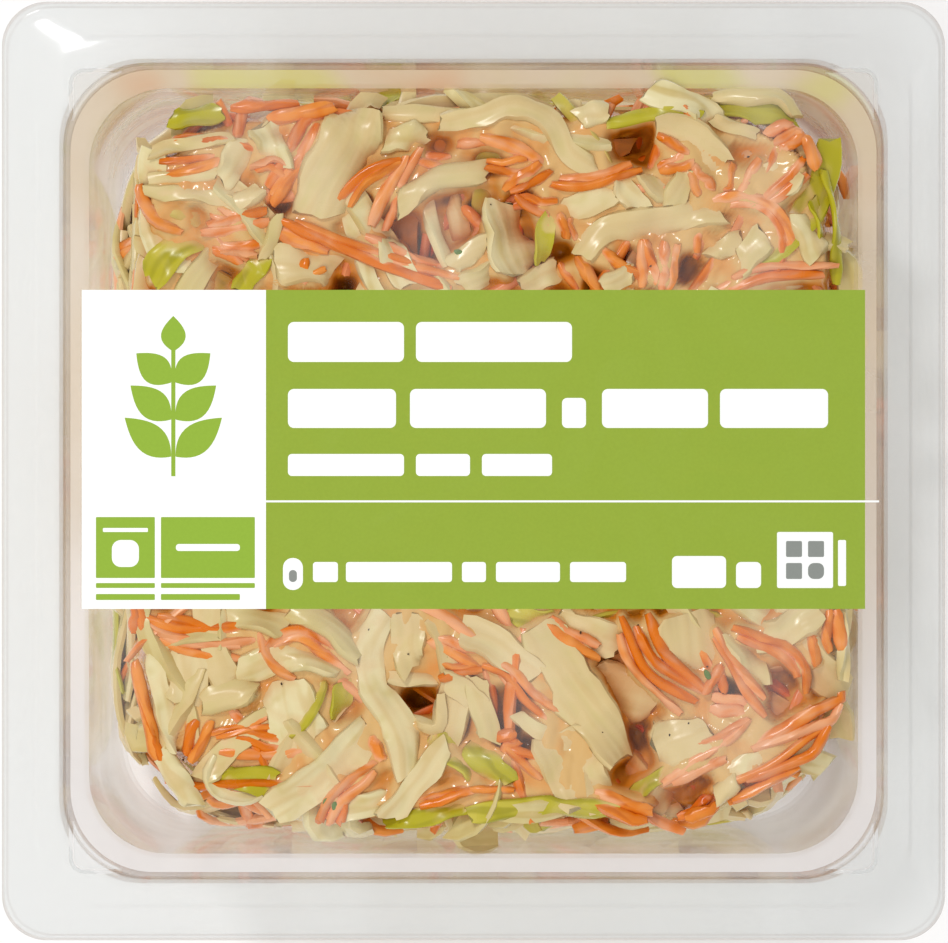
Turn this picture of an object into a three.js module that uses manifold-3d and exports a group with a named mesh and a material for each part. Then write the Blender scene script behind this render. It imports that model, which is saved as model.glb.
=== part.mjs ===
// Coleslaw of shredded cabbage and carrot in a clear square tub, closed by a heat-sealed film
// with a printed label panel.
// Millimetres, +Z up. The origin is under the middle of the tub's foot; +Y is the far side of the pack.
import * as THREE from 'three';
import { mergeVertices } from 'three/addons/utils/BufferGeometryUtils.js';
import Module from 'manifold-3d';

const wasm = await Module();
wasm.setup();

// Driving dimensions of the tub
const PACK_WIDTH = 125; // across X, over the flange
const PACK_DEPTH = 124.4; // across Y, over the flange
const FLANGE_TOP = 38; // height of the sealing land
const WALL = 0.6; // thickness of the formed sheet
const CAVITY_HALF = 54.25; // half the cavity's width at the sealing land
const CAVITY_CORNER = 11;
const RIM_LEAN = 0.8; // how far the wall above the stacking ledge leans in
const MOUTH_ROUND = 0.5; // rounding between that wall and the land
const LEDGE_HALF = 51.6; // half width just under the stacking ledge
const LEDGE_DROP = 4; // how far the stacking ledge lies below the land
const LEDGE_SLOPE = 0.2; // rise of the ledge towards the rim
const FOOT_HALF = 47.8; // half width at the foot, where the wall turns into the base
const FOOT_RADIUS = 2; // rounding between wall and base
const PANEL_HALF = 35; // half width of the raised panel in the base
const PANEL_RAISE = 1;

// Driving dimensions of its flange
const FLANGE_CORNER = 6; // outer corner radius
const LAND_END = 57.6; // half width of the sealing land
const LAND_CORNER = 9;
const LAND_STEP = 0.4; // step down from the land to the outer flange
const STEP_RUN = 0.5; // width of that step
const LIP_DROP = 2.6; // how far the edge turns down
const LIP_ROUND = 0.8; // rounding where it turns
const LIP_DRAFT = 0.3; // lean of the turned edge
const POCKET_HALF = 53; // square outline of the de-nesting pockets in the four corners
const POCKET_CORNER = 1.5;
const POCKET_DROP = 2.6;
const POCKET_LAP = 0.2; // the pocket's shell ends this far inside the flange's sheet

// Film and label
const FILM_THICKNESS = 0.2;
const FILM_INSET = 1; // the film is cut this far inside the flange's edge
const SEAT_GAP = 0.05; // the clearance between pieces that lie on each other
const LABEL_LEFT = -51.8;
const LABEL_RIGHT = 51.8;
const LABEL_NEAR = -18.3;
const LABEL_FAR = 23.9;
const LABEL_THICKNESS = 0.15;

// Core of the heap
const HEAP_GAP = 0.45; // between the heap and the tub
const HEAP_HEADROOM = 1.6; // the least distance between a shred and the film
const HEAP_SHOULDER = 24; // height at which the heap starts to round over
const HEAP_CROWN = 29.4; // height of the bare core in the middle
const HEAP_SHIFT = 1.4; // the top lies a little towards +X and leaves the -X wall
const HEAP_CORNER_SHARE = 0.36; // corner radius over half width, on every ring of the heap
const CORE_INSET = 1.3; // the bare core stays this far inside the shreds' reach
const TOP_RINGS = [0.94, 0.82, 0.6, 0.3, 0]; // rings of the core's top, as shares of its shoulder
const DOME_POWER = 5; // how late the dome falls off towards the shoulder
const LONG_RIPPLE = 0.9; // heights of the two ripples that make the core's top uneven
const SHORT_RIPPLE = 0.6;

// The two kinds of shred, at true size
const CABBAGE = { length: [18, 32], width: [3.4, 6.6], thickness: [1.2, 1.8], turn: 1.2, taper: 0.35 };
const CARROT = { length: [24, 42], width: [1.8, 2.6], thickness: [1.6, 2.1], turn: 1.5, taper: 0.5 };

// How they lie
const TOP_LAYERS = [6, 4]; // shreds per row, and rows, in each layer over the top
const CELL_STRIDE = 7; // the cells of a layer are filled in steps, so that neighbours don't follow on
const TOP_SEGMENTS = 4; // bends in a shred on the top
const TOP_MARGIN = 0.9; // between a shred on the top and the tub, beside the heap's gap
const TILT = 0.3; // the most that a shred leans sideways, in radians
const TWIST = 0.4; // and how much that changes along it
const SAG = 0.05; // how fast a shred bends down past a support, per millimetre
const SINK = 0.4; // how deep a shred beds into what it lies on
const SIDE_BANDS = [8, 15, 21.5]; // heights of the shreds pressed against the wall
const SHREDS_PER_BAND = 10;
const SIDE_SEGMENTS = 3;
const SIDE_SHORTER = 0.75; // share of a shred's length that shows at the wall
const SIDE_SLOPE = 0.7; // the steepest that it lies there
const SIDE_MARGIN = 0.15;
const SEED = 2507;

// Points along each straight side of a rounded square, and round each of its corners
const TUB_STEPS = { side: 1, corner: 7 };
const HEAP_STEPS = { side: 3, corner: 4 };

const clamp = (value, low, high) => Math.min(high, Math.max(low, value));
const mix = (from, to, share) => from + (to - from) * share;

// A repeatable stream of numbers from 0 to 1.
function randomStream(seed) {
  let state = seed;
  return () => {
    state = (state + 0x6d2b79f5) | 0;
    let bits = Math.imul(state ^ (state >>> 15), 1 | state);
    bits = (bits + Math.imul(bits ^ (bits >>> 7), 61 | bits)) ^ bits;
    return ((bits ^ (bits >>> 14)) >>> 0) / 4294967296;
  };
}

const random = randomStream(SEED);
const between = (low, high) => mix(low, high, random());

// The point number `index` of a rounded square, counted round its rim from the +X side.
function squarePoint(index, half, corner, steps) {
  const perSide = steps.side + steps.corner;
  const side = Math.floor(index / perSide) % 4;
  const step = index % perSide;
  const radius = Math.min(corner, half);
  const straight = half - radius;
  let x = half;
  let y = mix(-straight, straight, step / steps.side);
  if (step > steps.side) {
    const angle = ((step - steps.side) / steps.corner) * (Math.PI / 2);
    x = straight + radius * Math.cos(angle);
    y = straight + radius * Math.sin(angle);
  }
  const turn = (side * Math.PI) / 2;
  return [x * Math.cos(turn) - y * Math.sin(turn), x * Math.sin(turn) + y * Math.cos(turn)];
}

// A solid from a profile of { half, z, corner, shift } rows: a lathe whose circles become rounded
// squares, each moved along X by its shift.
function squaredLathe(profile, steps) {
  const columns = 4 * (steps.side + steps.corner);
  const points = profile.map((row) => new THREE.Vector2(row.half, row.z));
  const geometry = new THREE.LatheGeometry(points, columns);
  const position = geometry.getAttribute('position');
  for (let i = 0; i < position.count; i++) {
    const row = profile[i % profile.length];
    const column = Math.floor(i / profile.length) % columns;
    const [x, y] = squarePoint(column, row.half, row.corner, steps);
    position.setXYZ(i, x + (row.shift ?? 0), y, row.z);
  }
  return geometry;
}

// A flat sheet with round corners, its underside at z = 0.
function sheet(half, corner, thickness) {
  const straight = half - corner;
  const outline = new THREE.Shape();
  outline.absarc(straight, straight, corner, 0, Math.PI / 2);
  outline.absarc(-straight, straight, corner, Math.PI / 2, Math.PI);
  outline.absarc(-straight, -straight, corner, Math.PI, 1.5 * Math.PI);
  outline.absarc(straight, -straight, corner, 1.5 * Math.PI, 2 * Math.PI);
  return new THREE.ExtrudeGeometry(outline, { depth: thickness, bevelEnabled: false, curveSegments: 8 });
}

// A closed three.js geometry as a solid that can be joined and cut.
function toSolid(geometry) {
  const bare = new THREE.BufferGeometry();
  bare.setAttribute('position', geometry.getAttribute('position'));
  bare.setIndex(geometry.getIndex());
  const merged = mergeVertices(bare, 1e-4);
  const index = merged.getIndex().array;
  const kept = [];
  for (let i = 0; i < index.length; i += 3) {
    const [a, b, c] = [index[i], index[i + 1], index[i + 2]];
    if (a !== b && b !== c && a !== c) kept.push(a, b, c);
  }
  const vertProperties = new Float32Array(merged.getAttribute('position').array);
  const mesh = new wasm.Mesh({ numProp: 3, vertProperties, triVerts: new Uint32Array(kept) });
  return new wasm.Manifold(mesh);
}

// And back to a geometry, keeping the largest body and dropping loose scraps.
function toGeometry(solid) {
  const bodies = solid.decompose().sort((a, b) => b.volume() - a.volume());
  const mesh = bodies[0].getMesh();
  const geometry = new THREE.BufferGeometry();
  geometry.setAttribute('position', new THREE.BufferAttribute(mesh.vertProperties, 3));
  geometry.setIndex(new THREE.BufferAttribute(mesh.triVerts, 1));
  return geometry;
}

// The quarter round from the base into the wall, as profile rows.
function footRows(half, bottom, radius, corner) {
  const steps = 3;
  const rows = [];
  for (let i = 0; i <= steps; i++) {
    const angle = (i / steps) * (Math.PI / 2);
    const out = half - radius + radius * Math.sin(angle);
    rows.push({ half: out, z: bottom + radius * (1 - Math.cos(angle)), corner });
  }
  return rows;
}

// The tub's outer face, from the middle of the base round the flange to the middle of the mouth.
function outerRows() {
  const edge = PACK_WIDTH / 2;
  const ledge = FLANGE_TOP - LEDGE_DROP;
  const flange = FLANGE_TOP - LAND_STEP;
  const row = (half, z, corner) => ({ half, z, corner });
  return [
    row(0, PANEL_RAISE, 0),
    row(PANEL_HALF - PANEL_RAISE, PANEL_RAISE, CAVITY_CORNER - PANEL_RAISE),
    row(PANEL_HALF, 0, CAVITY_CORNER),
    ...footRows(FOOT_HALF, 0, FOOT_RADIUS, CAVITY_CORNER),
    row(LEDGE_HALF, ledge - WALL, CAVITY_CORNER),
    row(CAVITY_HALF - RIM_LEAN + WALL, ledge - WALL + LEDGE_SLOPE, CAVITY_CORNER),
    row(CAVITY_HALF + WALL, FLANGE_TOP - WALL - MOUTH_ROUND, CAVITY_CORNER),
    row(CAVITY_HALF + WALL + MOUTH_ROUND, FLANGE_TOP - WALL, CAVITY_CORNER),
    row(LAND_END, FLANGE_TOP - WALL, LAND_CORNER),
    row(LAND_END + STEP_RUN, flange - WALL, LAND_CORNER - STEP_RUN),
    row(edge - WALL - 2 * LIP_ROUND, flange - WALL, FLANGE_CORNER),
    row(edge - WALL - LIP_DRAFT, flange - WALL - LIP_ROUND, FLANGE_CORNER),
    row(edge - WALL, FLANGE_TOP - LIP_DROP, FLANGE_CORNER),
    row(edge, FLANGE_TOP - LIP_DROP, FLANGE_CORNER),
    row(edge - LIP_DRAFT, flange - LIP_ROUND, FLANGE_CORNER),
    row(edge - LIP_DRAFT - LIP_ROUND, flange, FLANGE_CORNER),
    row(LAND_END + STEP_RUN, flange, LAND_CORNER - STEP_RUN),
    row(LAND_END, FLANGE_TOP, LAND_CORNER),
    row(0, FLANGE_TOP, 0),
  ];
}

// Its inner face, from the middle of the base up through the mouth.
function innerRows() {
  const ledge = FLANGE_TOP - LEDGE_DROP;
  const above = FLANGE_TOP + 1;
  const corner = CAVITY_CORNER - WALL;
  const mouth = CAVITY_HALF + MOUTH_ROUND;
  const row = (half, z, corner) => ({ half, z, corner });
  return [
    row(0, PANEL_RAISE + WALL, 0),
    row(PANEL_HALF - PANEL_RAISE, PANEL_RAISE + WALL, CAVITY_CORNER - PANEL_RAISE),
    row(PANEL_HALF, WALL, CAVITY_CORNER),
    ...footRows(FOOT_HALF - WALL, WALL, FOOT_RADIUS - WALL, corner),
    row(LEDGE_HALF - WALL, ledge, corner),
    row(CAVITY_HALF - RIM_LEAN, ledge + LEDGE_SLOPE, CAVITY_CORNER),
    row(CAVITY_HALF, FLANGE_TOP - MOUTH_ROUND, CAVITY_CORNER),
    row(mouth, FLANGE_TOP, CAVITY_CORNER),
    row(mouth, above, CAVITY_CORNER),
    row(0, above, 0),
  ];
}

// The formed sheet: the outer face less the inner one, with the pockets let into the corners.
function tub() {
  const pocketFloor = FLANGE_TOP - POCKET_DROP;
  const pocketShell = sheet(POCKET_HALF + WALL, POCKET_CORNER + WALL, POCKET_DROP - POCKET_LAP);
  pocketShell.translate(0, 0, pocketFloor - WALL);
  const pocketHollow = sheet(POCKET_HALF, POCKET_CORNER, POCKET_DROP + 1);
  pocketHollow.translate(0, 0, pocketFloor);
  const body = toSolid(squaredLathe(outerRows(), TUB_STEPS)).add(toSolid(pocketShell));
  const hollow = toSolid(squaredLathe(innerRows(), TUB_STEPS)).add(toSolid(pocketHollow));
  return toGeometry(body.subtract(hollow));
}

// Half the width of the tub's inner face at a height, from the foot up to the ledge.
function wallHalf(z) {
  const share = clamp((z - FOOT_RADIUS) / (FLANGE_TOP - LEDGE_DROP - FOOT_RADIUS), 0, 1);
  const sunk = clamp(FOOT_RADIUS - z, 0, FOOT_RADIUS);
  const rounding = FOOT_RADIUS - Math.sqrt(FOOT_RADIUS ** 2 - sunk ** 2);
  return mix(FOOT_HALF, LEDGE_HALF, share) - WALL - rounding;
}

// Half the width of the heap's ring that runs through a point.
function ringHalf(x, y) {
  const a = Math.abs(x);
  const b = Math.abs(y);
  const round = HEAP_CORNER_SHARE;
  const flat = 1 - round;
  if (Math.min(a, b) <= flat * Math.max(a, b)) return Math.max(a, b);
  const square = 2 * flat ** 2 - round ** 2;
  const linear = flat * (a + b);
  return (linear - Math.sqrt(linear ** 2 - square * (a * a + b * b))) / square;
}

// Half the width of the core at its shoulder: what the tub leaves, less the shift of the top.
const coreShoulder = wallHalf(HEAP_SHOULDER) - HEAP_GAP - CORE_INSET - HEAP_SHIFT;

// Height of the bare core's top over a point, before any shred lies on it.
function coreTop(x, y) {
  const out = clamp(ringHalf(x - HEAP_SHIFT, y) / coreShoulder, 0, 1);
  const long = LONG_RIPPLE * Math.sin(x * 0.21 + 1) * Math.cos(y * 0.17);
  const short = SHORT_RIPPLE * Math.sin(x * 0.11 - y * 0.29);
  return HEAP_SHOULDER + (HEAP_CROWN - HEAP_SHOULDER + long + short) * (1 - out ** DOME_POWER);
}

// The core: it follows the tub's wall up to the shoulder, then rounds over to an uneven top.
function heapCore() {
  const inset = HEAP_GAP + CORE_INSET;
  const floor = WALL + PANEL_RAISE + HEAP_GAP;
  const bulge = floor + FOOT_RADIUS + 1;
  const waist = (bulge + HEAP_SHOULDER) / 2;
  const ring = (half, z, shift) => ({ half, z, corner: HEAP_CORNER_SHARE * half, shift });
  const rows = [
    ring(0, floor, 0),
    ring(wallHalf(floor) - inset - 1.5, floor, 0),
    ring(wallHalf(bulge) - inset, bulge, 0),
    ring(wallHalf(waist) - inset, waist, 0),
    ring(coreShoulder, HEAP_SHOULDER, HEAP_SHIFT),
  ];
  const sideRows = rows.length;
  rows.push(...TOP_RINGS.map((share) => ring(share * coreShoulder, HEAP_CROWN, HEAP_SHIFT)));
  const geometry = squaredLathe(rows, HEAP_STEPS);
  const position = geometry.getAttribute('position');
  for (let i = 0; i < position.count; i++) {
    if (i % rows.length >= sideRows) position.setZ(i, coreTop(position.getX(i), position.getY(i)));
  }
  return geometry;
}

// The height of the pile so far, in cells of a square millimetre, so that each shred lies on those
// below it.
class Pile {
  constructor(half) {
    this.half = half;
    this.count = 2 * half + 1;
    this.heights = new Float32Array(this.count ** 2);
    for (let i = 0; i < this.heights.length; i++) {
      this.heights[i] = coreTop((i % this.count) - half, Math.floor(i / this.count) - half);
    }
  }

  cell(x, y) {
    const column = clamp(Math.round(x + this.half), 0, this.count - 1);
    const row = clamp(Math.round(y + this.half), 0, this.count - 1);
    return row * this.count + column;
  }

  under(x, y) {
    return this.heights[this.cell(x, y)];
  }

  raise(x, y, z) {
    const cell = this.cell(x, y);
    this.heights[cell] = Math.max(this.heights[cell], z);
  }
}

// A strip along a curve. Its width lies along acrossAt(share), with share from 0 to 1.
function strip(size, segments, curve, acrossAt) {
  const geometry = new THREE.BoxGeometry(size.length, size.width, size.thickness, segments, 1, 1);
  const position = geometry.getAttribute('position');
  for (let i = 0; i < position.count; i++) {
    const share = clamp(position.getX(i) / size.length + 0.5, 0, 1);
    const ahead = curve.getTangent(share);
    const across = acrossAt(share);
    across.addScaledVector(ahead, -across.dot(ahead)).normalize();
    const up = new THREE.Vector3().crossVectors(ahead, across);
    const taper = 1 - size.taper * Math.abs(2 * share - 1) ** 3;
    const point = curve.getPoint(share);
    point.addScaledVector(across, position.getY(i) * taper).addScaledVector(up, position.getZ(i));
    position.setXYZ(i, point.x, point.y, point.z);
  }
  return geometry;
}

function drawSize(kind) {
  const length = between(...kind.length);
  const width = between(...kind.width);
  return { length, width, thickness: between(...kind.thickness), taper: kind.taper };
}

// The plan of a shred round (x, y): its middle line, moved inwards until all of it is inside the tub.
function shredPlan(size, x, y, heading, turn) {
  const side = new THREE.Vector2(-Math.sin(heading), Math.cos(heading));
  const bends = [];
  for (let i = 0; i <= TOP_SEGMENTS; i++) {
    const along = (i / TOP_SEGMENTS - 0.5) * size.length;
    const bow = (turn * along * along) / (2 * size.length);
    const straight = new THREE.Vector2(along * Math.cos(heading), along * Math.sin(heading));
    bends.push(straight.addScaledVector(side, bow));
  }
  const middle = new THREE.Vector2(x, y);
  const reach = wallHalf(HEAP_SHOULDER) - HEAP_GAP - TOP_MARGIN - size.width / 2;
  const outside = (bend) => ringHalf(middle.x + bend.x, middle.y + bend.y) > reach;
  while (bends.some(outside)) middle.multiplyScalar(0.95);
  return { side, points: bends.map((bend) => bend.add(middle)) };
}

// A shred that lies on the pile round (x, y), bent in plan and sagging between what holds it up.
// It is null where it would come too near the film.
function topShred(kind, x, y, pile) {
  const size = drawSize(kind);
  const plan = shredPlan(size, x, y, between(0, Math.PI), between(-kind.turn, kind.turn));
  const tilt = between(-TILT, TILT);
  const step = size.length / TOP_SEGMENTS;
  const ground = plan.points.map((point) => {
    const spots = [-0.4, 0, 0.4].map((share) => point.clone().addScaledVector(plan.side, share * size.width));
    return Math.max(...spots.map((spot) => pile.under(spot.x, spot.y)));
  });
  const restAt = (i) => Math.max(...ground.map((z, j) => z - SAG * ((i - j) * step) ** 2));
  const lift = size.thickness / 2 - SINK;
  const points = plan.points.map((point, i) => new THREE.Vector3(point.x, point.y, restAt(i) + lift));
  if (Math.max(...points.map((point) => point.z)) > FLANGE_TOP - HEAP_HEADROOM - size.thickness) return null;
  const curve = new THREE.CatmullRomCurve3(points);
  for (const point of curve.getPoints(Math.ceil(size.length))) {
    for (let across = -size.width / 2; across <= size.width / 2; across += 0.8) {
      const [px, py] = [point.x + plan.side.x * across, point.y + plan.side.y * across];
      pile.raise(px, py, point.z + size.thickness / 2);
    }
  }
  const acrossAt = (share) => {
    const lean = Math.tan(tilt + TWIST * (share - 0.5));
    return new THREE.Vector3(plan.side.x, plan.side.y, lean);
  };
  return strip(size, TOP_SEGMENTS, curve, acrossAt);
}

// A point on the ring of a rounded square, measured in millimetres along it.
function ringPoint(along, half, z) {
  const corner = HEAP_CORNER_SHARE * half;
  const straight = 2 * (half - corner);
  const perSide = straight + (Math.PI / 2) * corner;
  const left = ((along % (4 * perSide)) + 4 * perSide) % (4 * perSide);
  const side = Math.floor(left / perSide);
  const rest = left - side * perSide;
  const angle = Math.max(0, rest - straight) / corner;
  const x = half - corner + corner * Math.cos(angle);
  const y = rest < straight ? rest - straight / 2 : straight / 2 + corner * Math.sin(angle);
  return new THREE.Vector3(x, y, z).applyAxisAngle(new THREE.Vector3(0, 0, 1), (side * Math.PI) / 2);
}

// A shred pressed flat against the tub's wall, from a place along it and a height.
function sideShred(kind, place, height) {
  const size = drawSize(kind);
  size.length *= SIDE_SHORTER;
  const slope = between(-SIDE_SLOPE, SIDE_SLOPE);
  const points = [];
  for (let i = 0; i <= SIDE_SEGMENTS; i++) {
    const along = (i / SIDE_SEGMENTS - 0.5) * size.length;
    const z = clamp(height + slope * along, FOOT_RADIUS + size.width / 2, HEAP_SHOULDER + 1 - size.width / 2);
    const half = wallHalf(z - size.width / 2) - HEAP_GAP - SIDE_MARGIN - size.thickness / 2;
    points.push(ringPoint(place + along, half, z));
  }
  return strip(size, SIDE_SEGMENTS, new THREE.CatmullRomCurve3(points), () => new THREE.Vector3(0, 0, 1));
}

// The core with its shreds fused on: bands round the sides, then layers over the top.
function heap() {
  const shreds = [];
  const rim = 8 * wallHalf(HEAP_SHOULDER);
  SIDE_BANDS.forEach((height, band) => {
    for (let i = 0; i < SHREDS_PER_BAND; i++) {
      const place = (rim * (i + band / SIDE_BANDS.length + between(-0.15, 0.15))) / SHREDS_PER_BAND;
      shreds.push(sideShred((i + band) % 3 ? CABBAGE : CARROT, place, height));
    }
  });
  const reach = wallHalf(HEAP_SHOULDER);
  const pile = new Pile(Math.ceil(reach));
  TOP_LAYERS.forEach((perRow, layer) => {
    const cells = perRow ** 2;
    for (let i = 0; i < cells; i++) {
      const cell = (i * CELL_STRIDE) % cells;
      const x = mix(-reach, reach, ((cell % perRow) + between(0.2, 0.8)) / perRow);
      const y = mix(-reach, reach, (Math.floor(cell / perRow) + between(0.2, 0.8)) / perRow);
      shreds.push(topShred((i + layer) % 2 ? CARROT : CABBAGE, x, y, pile));
    }
  });
  const solids = shreds.filter((shred) => shred !== null).map(toSolid);
  return toGeometry(wasm.Manifold.union([toSolid(heapCore()), ...solids]));
}

function film() {
  const geometry = sheet(PACK_WIDTH / 2 - FILM_INSET, FLANGE_CORNER - FILM_INSET, FILM_THICKNESS);
  geometry.translate(0, 0, FLANGE_TOP + SEAT_GAP);
  return geometry;
}

function label() {
  const geometry = new THREE.BoxGeometry(LABEL_RIGHT - LABEL_LEFT, LABEL_FAR - LABEL_NEAR, LABEL_THICKNESS);
  const filmTop = FLANGE_TOP + SEAT_GAP + FILM_THICKNESS;
  const middle = filmTop + SEAT_GAP + LABEL_THICKNESS / 2;
  geometry.translate((LABEL_LEFT + LABEL_RIGHT) / 2, (LABEL_NEAR + LABEL_FAR) / 2, middle);
  return geometry;
}

function named(name, geometry, colour, roughness, opacity = 1) {
  const settings = { color: colour, roughness, metalness: 0, opacity, transparent: opacity < 1 };
  const mesh = new THREE.Mesh(geometry, new THREE.MeshStandardMaterial(settings));
  mesh.name = name;
  return mesh;
}

const pack = new THREE.Group();
const formed = new THREE.Group(); // the tub and its film are a little less deep than wide
formed.scale.set(1, PACK_DEPTH / PACK_WIDTH, 1);
formed.add(named('tub', tub(), '#e3e6e4', 0.12, 0.35));
formed.add(named('film', film(), '#eef1ef', 0.08, 0.2));
pack.add(formed);
pack.add(named('coleslaw', heap(), '#e6d8a4', 0.35));
pack.add(named('label', label(), '#98b44b', 0.3));

export default pack;
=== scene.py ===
"""A sealed square tub of coleslaw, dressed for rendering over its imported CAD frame.

The clear tub, the printed film and the heap of shreds are one class each. Lengths are in
millimetres until a mesh is written, and every piece is placed in its own mesh, so each object
stays at the origin.
"""

import logging
import math
from collections.abc import Callable, Sequence
from dataclasses import dataclass, field
from enum import Enum

import bmesh
import bpy
import numpy as np
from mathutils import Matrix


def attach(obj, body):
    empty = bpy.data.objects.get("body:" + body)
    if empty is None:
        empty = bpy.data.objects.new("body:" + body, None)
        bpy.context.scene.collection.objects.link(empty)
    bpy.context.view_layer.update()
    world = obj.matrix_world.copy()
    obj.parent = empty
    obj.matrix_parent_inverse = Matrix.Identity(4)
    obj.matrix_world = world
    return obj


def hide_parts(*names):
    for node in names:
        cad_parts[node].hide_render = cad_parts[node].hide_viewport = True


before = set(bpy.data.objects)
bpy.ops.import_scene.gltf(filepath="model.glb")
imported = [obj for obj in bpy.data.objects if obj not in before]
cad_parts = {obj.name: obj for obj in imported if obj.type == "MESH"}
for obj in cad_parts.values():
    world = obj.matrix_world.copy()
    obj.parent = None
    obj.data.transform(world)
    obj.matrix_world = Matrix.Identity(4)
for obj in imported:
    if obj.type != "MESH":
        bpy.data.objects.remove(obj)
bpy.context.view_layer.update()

log = logging.getLogger("coleslaw")

MM = 0.001
DEPTH_SHARE = 124.4 / 125  # the pack is this much less deep than wide
ROOT = "root"

Socket = bpy.types.NodeSocket
Colour = tuple[float, float, float, float]
Point = tuple[float, float]


def linear(code: str) -> Colour:
    """Turn an sRGB hex value into a linear colour.

    Args:
        code: Six hex digits after a hash sign.

    Returns:
        Red, green, blue and an alpha of 1, in linear light.
    """
    channels = (int(code[i : i + 2], 16) / 255 for i in (1, 3, 5))
    red, green, blue = (c / 12.92 if c <= 0.04045 else ((c + 0.055) / 1.055) ** 2.4 for c in channels)
    return red, green, blue, 1.0


def add(
    tree: bpy.types.NodeTree,
    kind: str,
    inputs: dict[str | int, object] | None = None,
    **settings: object,
) -> bpy.types.Node:
    """Add a node with its settings, and link or set its inputs.

    Args:
        tree: The node tree that takes the node.
        kind: The node's type name.
        inputs: A socket to link from, or a value, for each input by name or number.
        **settings: Properties of the node itself.

    Returns:
        The new node.
    """
    node = tree.nodes.new(kind)
    for name, value in settings.items():
        setattr(node, name, value)
    for name, value in (inputs or {}).items():
        if isinstance(value, Socket):
            tree.links.new(value, node.inputs[name])
        else:
            node.inputs[name].default_value = value
    return node


def start_material(name: str) -> bpy.types.Material:
    """Make an empty node material of that name."""
    material = bpy.data.materials.new(name)
    material.use_nodes = True
    material.node_tree.nodes.clear()
    return material


def finish_material(material: bpy.types.Material, shader: bpy.types.Node) -> bpy.types.Material:
    """Link a shader to the material's output and return the material."""
    add(material.node_tree, "ShaderNodeOutputMaterial", {"Surface": shader.outputs[0]})
    return material


def let_light_through(tree: bpy.types.NodeTree, veil: Socket | float, share: float) -> Socket:
    """Thin a clear sheet's veil for the light that falls through it.

    A clear sheet shows its haze to the eye but passes nearly all light on, so shadow and diffuse
    rays meet only a share of its alpha.

    Args:
        tree: The node tree.
        veil: The sheet's alpha.
        share: What is left of it for light.

    Returns:
        The alpha to link to the shader.
    """
    rays = add(tree, "ShaderNodeLightPath").outputs
    light = add(tree, "ShaderNodeMath", {0: rays["Is Shadow Ray"], 1: rays["Is Diffuse Ray"]}, operation="MAXIMUM")
    kept = add(tree, "ShaderNodeMapRange", {"Value": light.outputs[0], "To Min": 1.0, "To Max": share})
    return add(tree, "ShaderNodeMath", {0: veil, 1: kept.outputs[0]}, operation="MULTIPLY").outputs[0]


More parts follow.
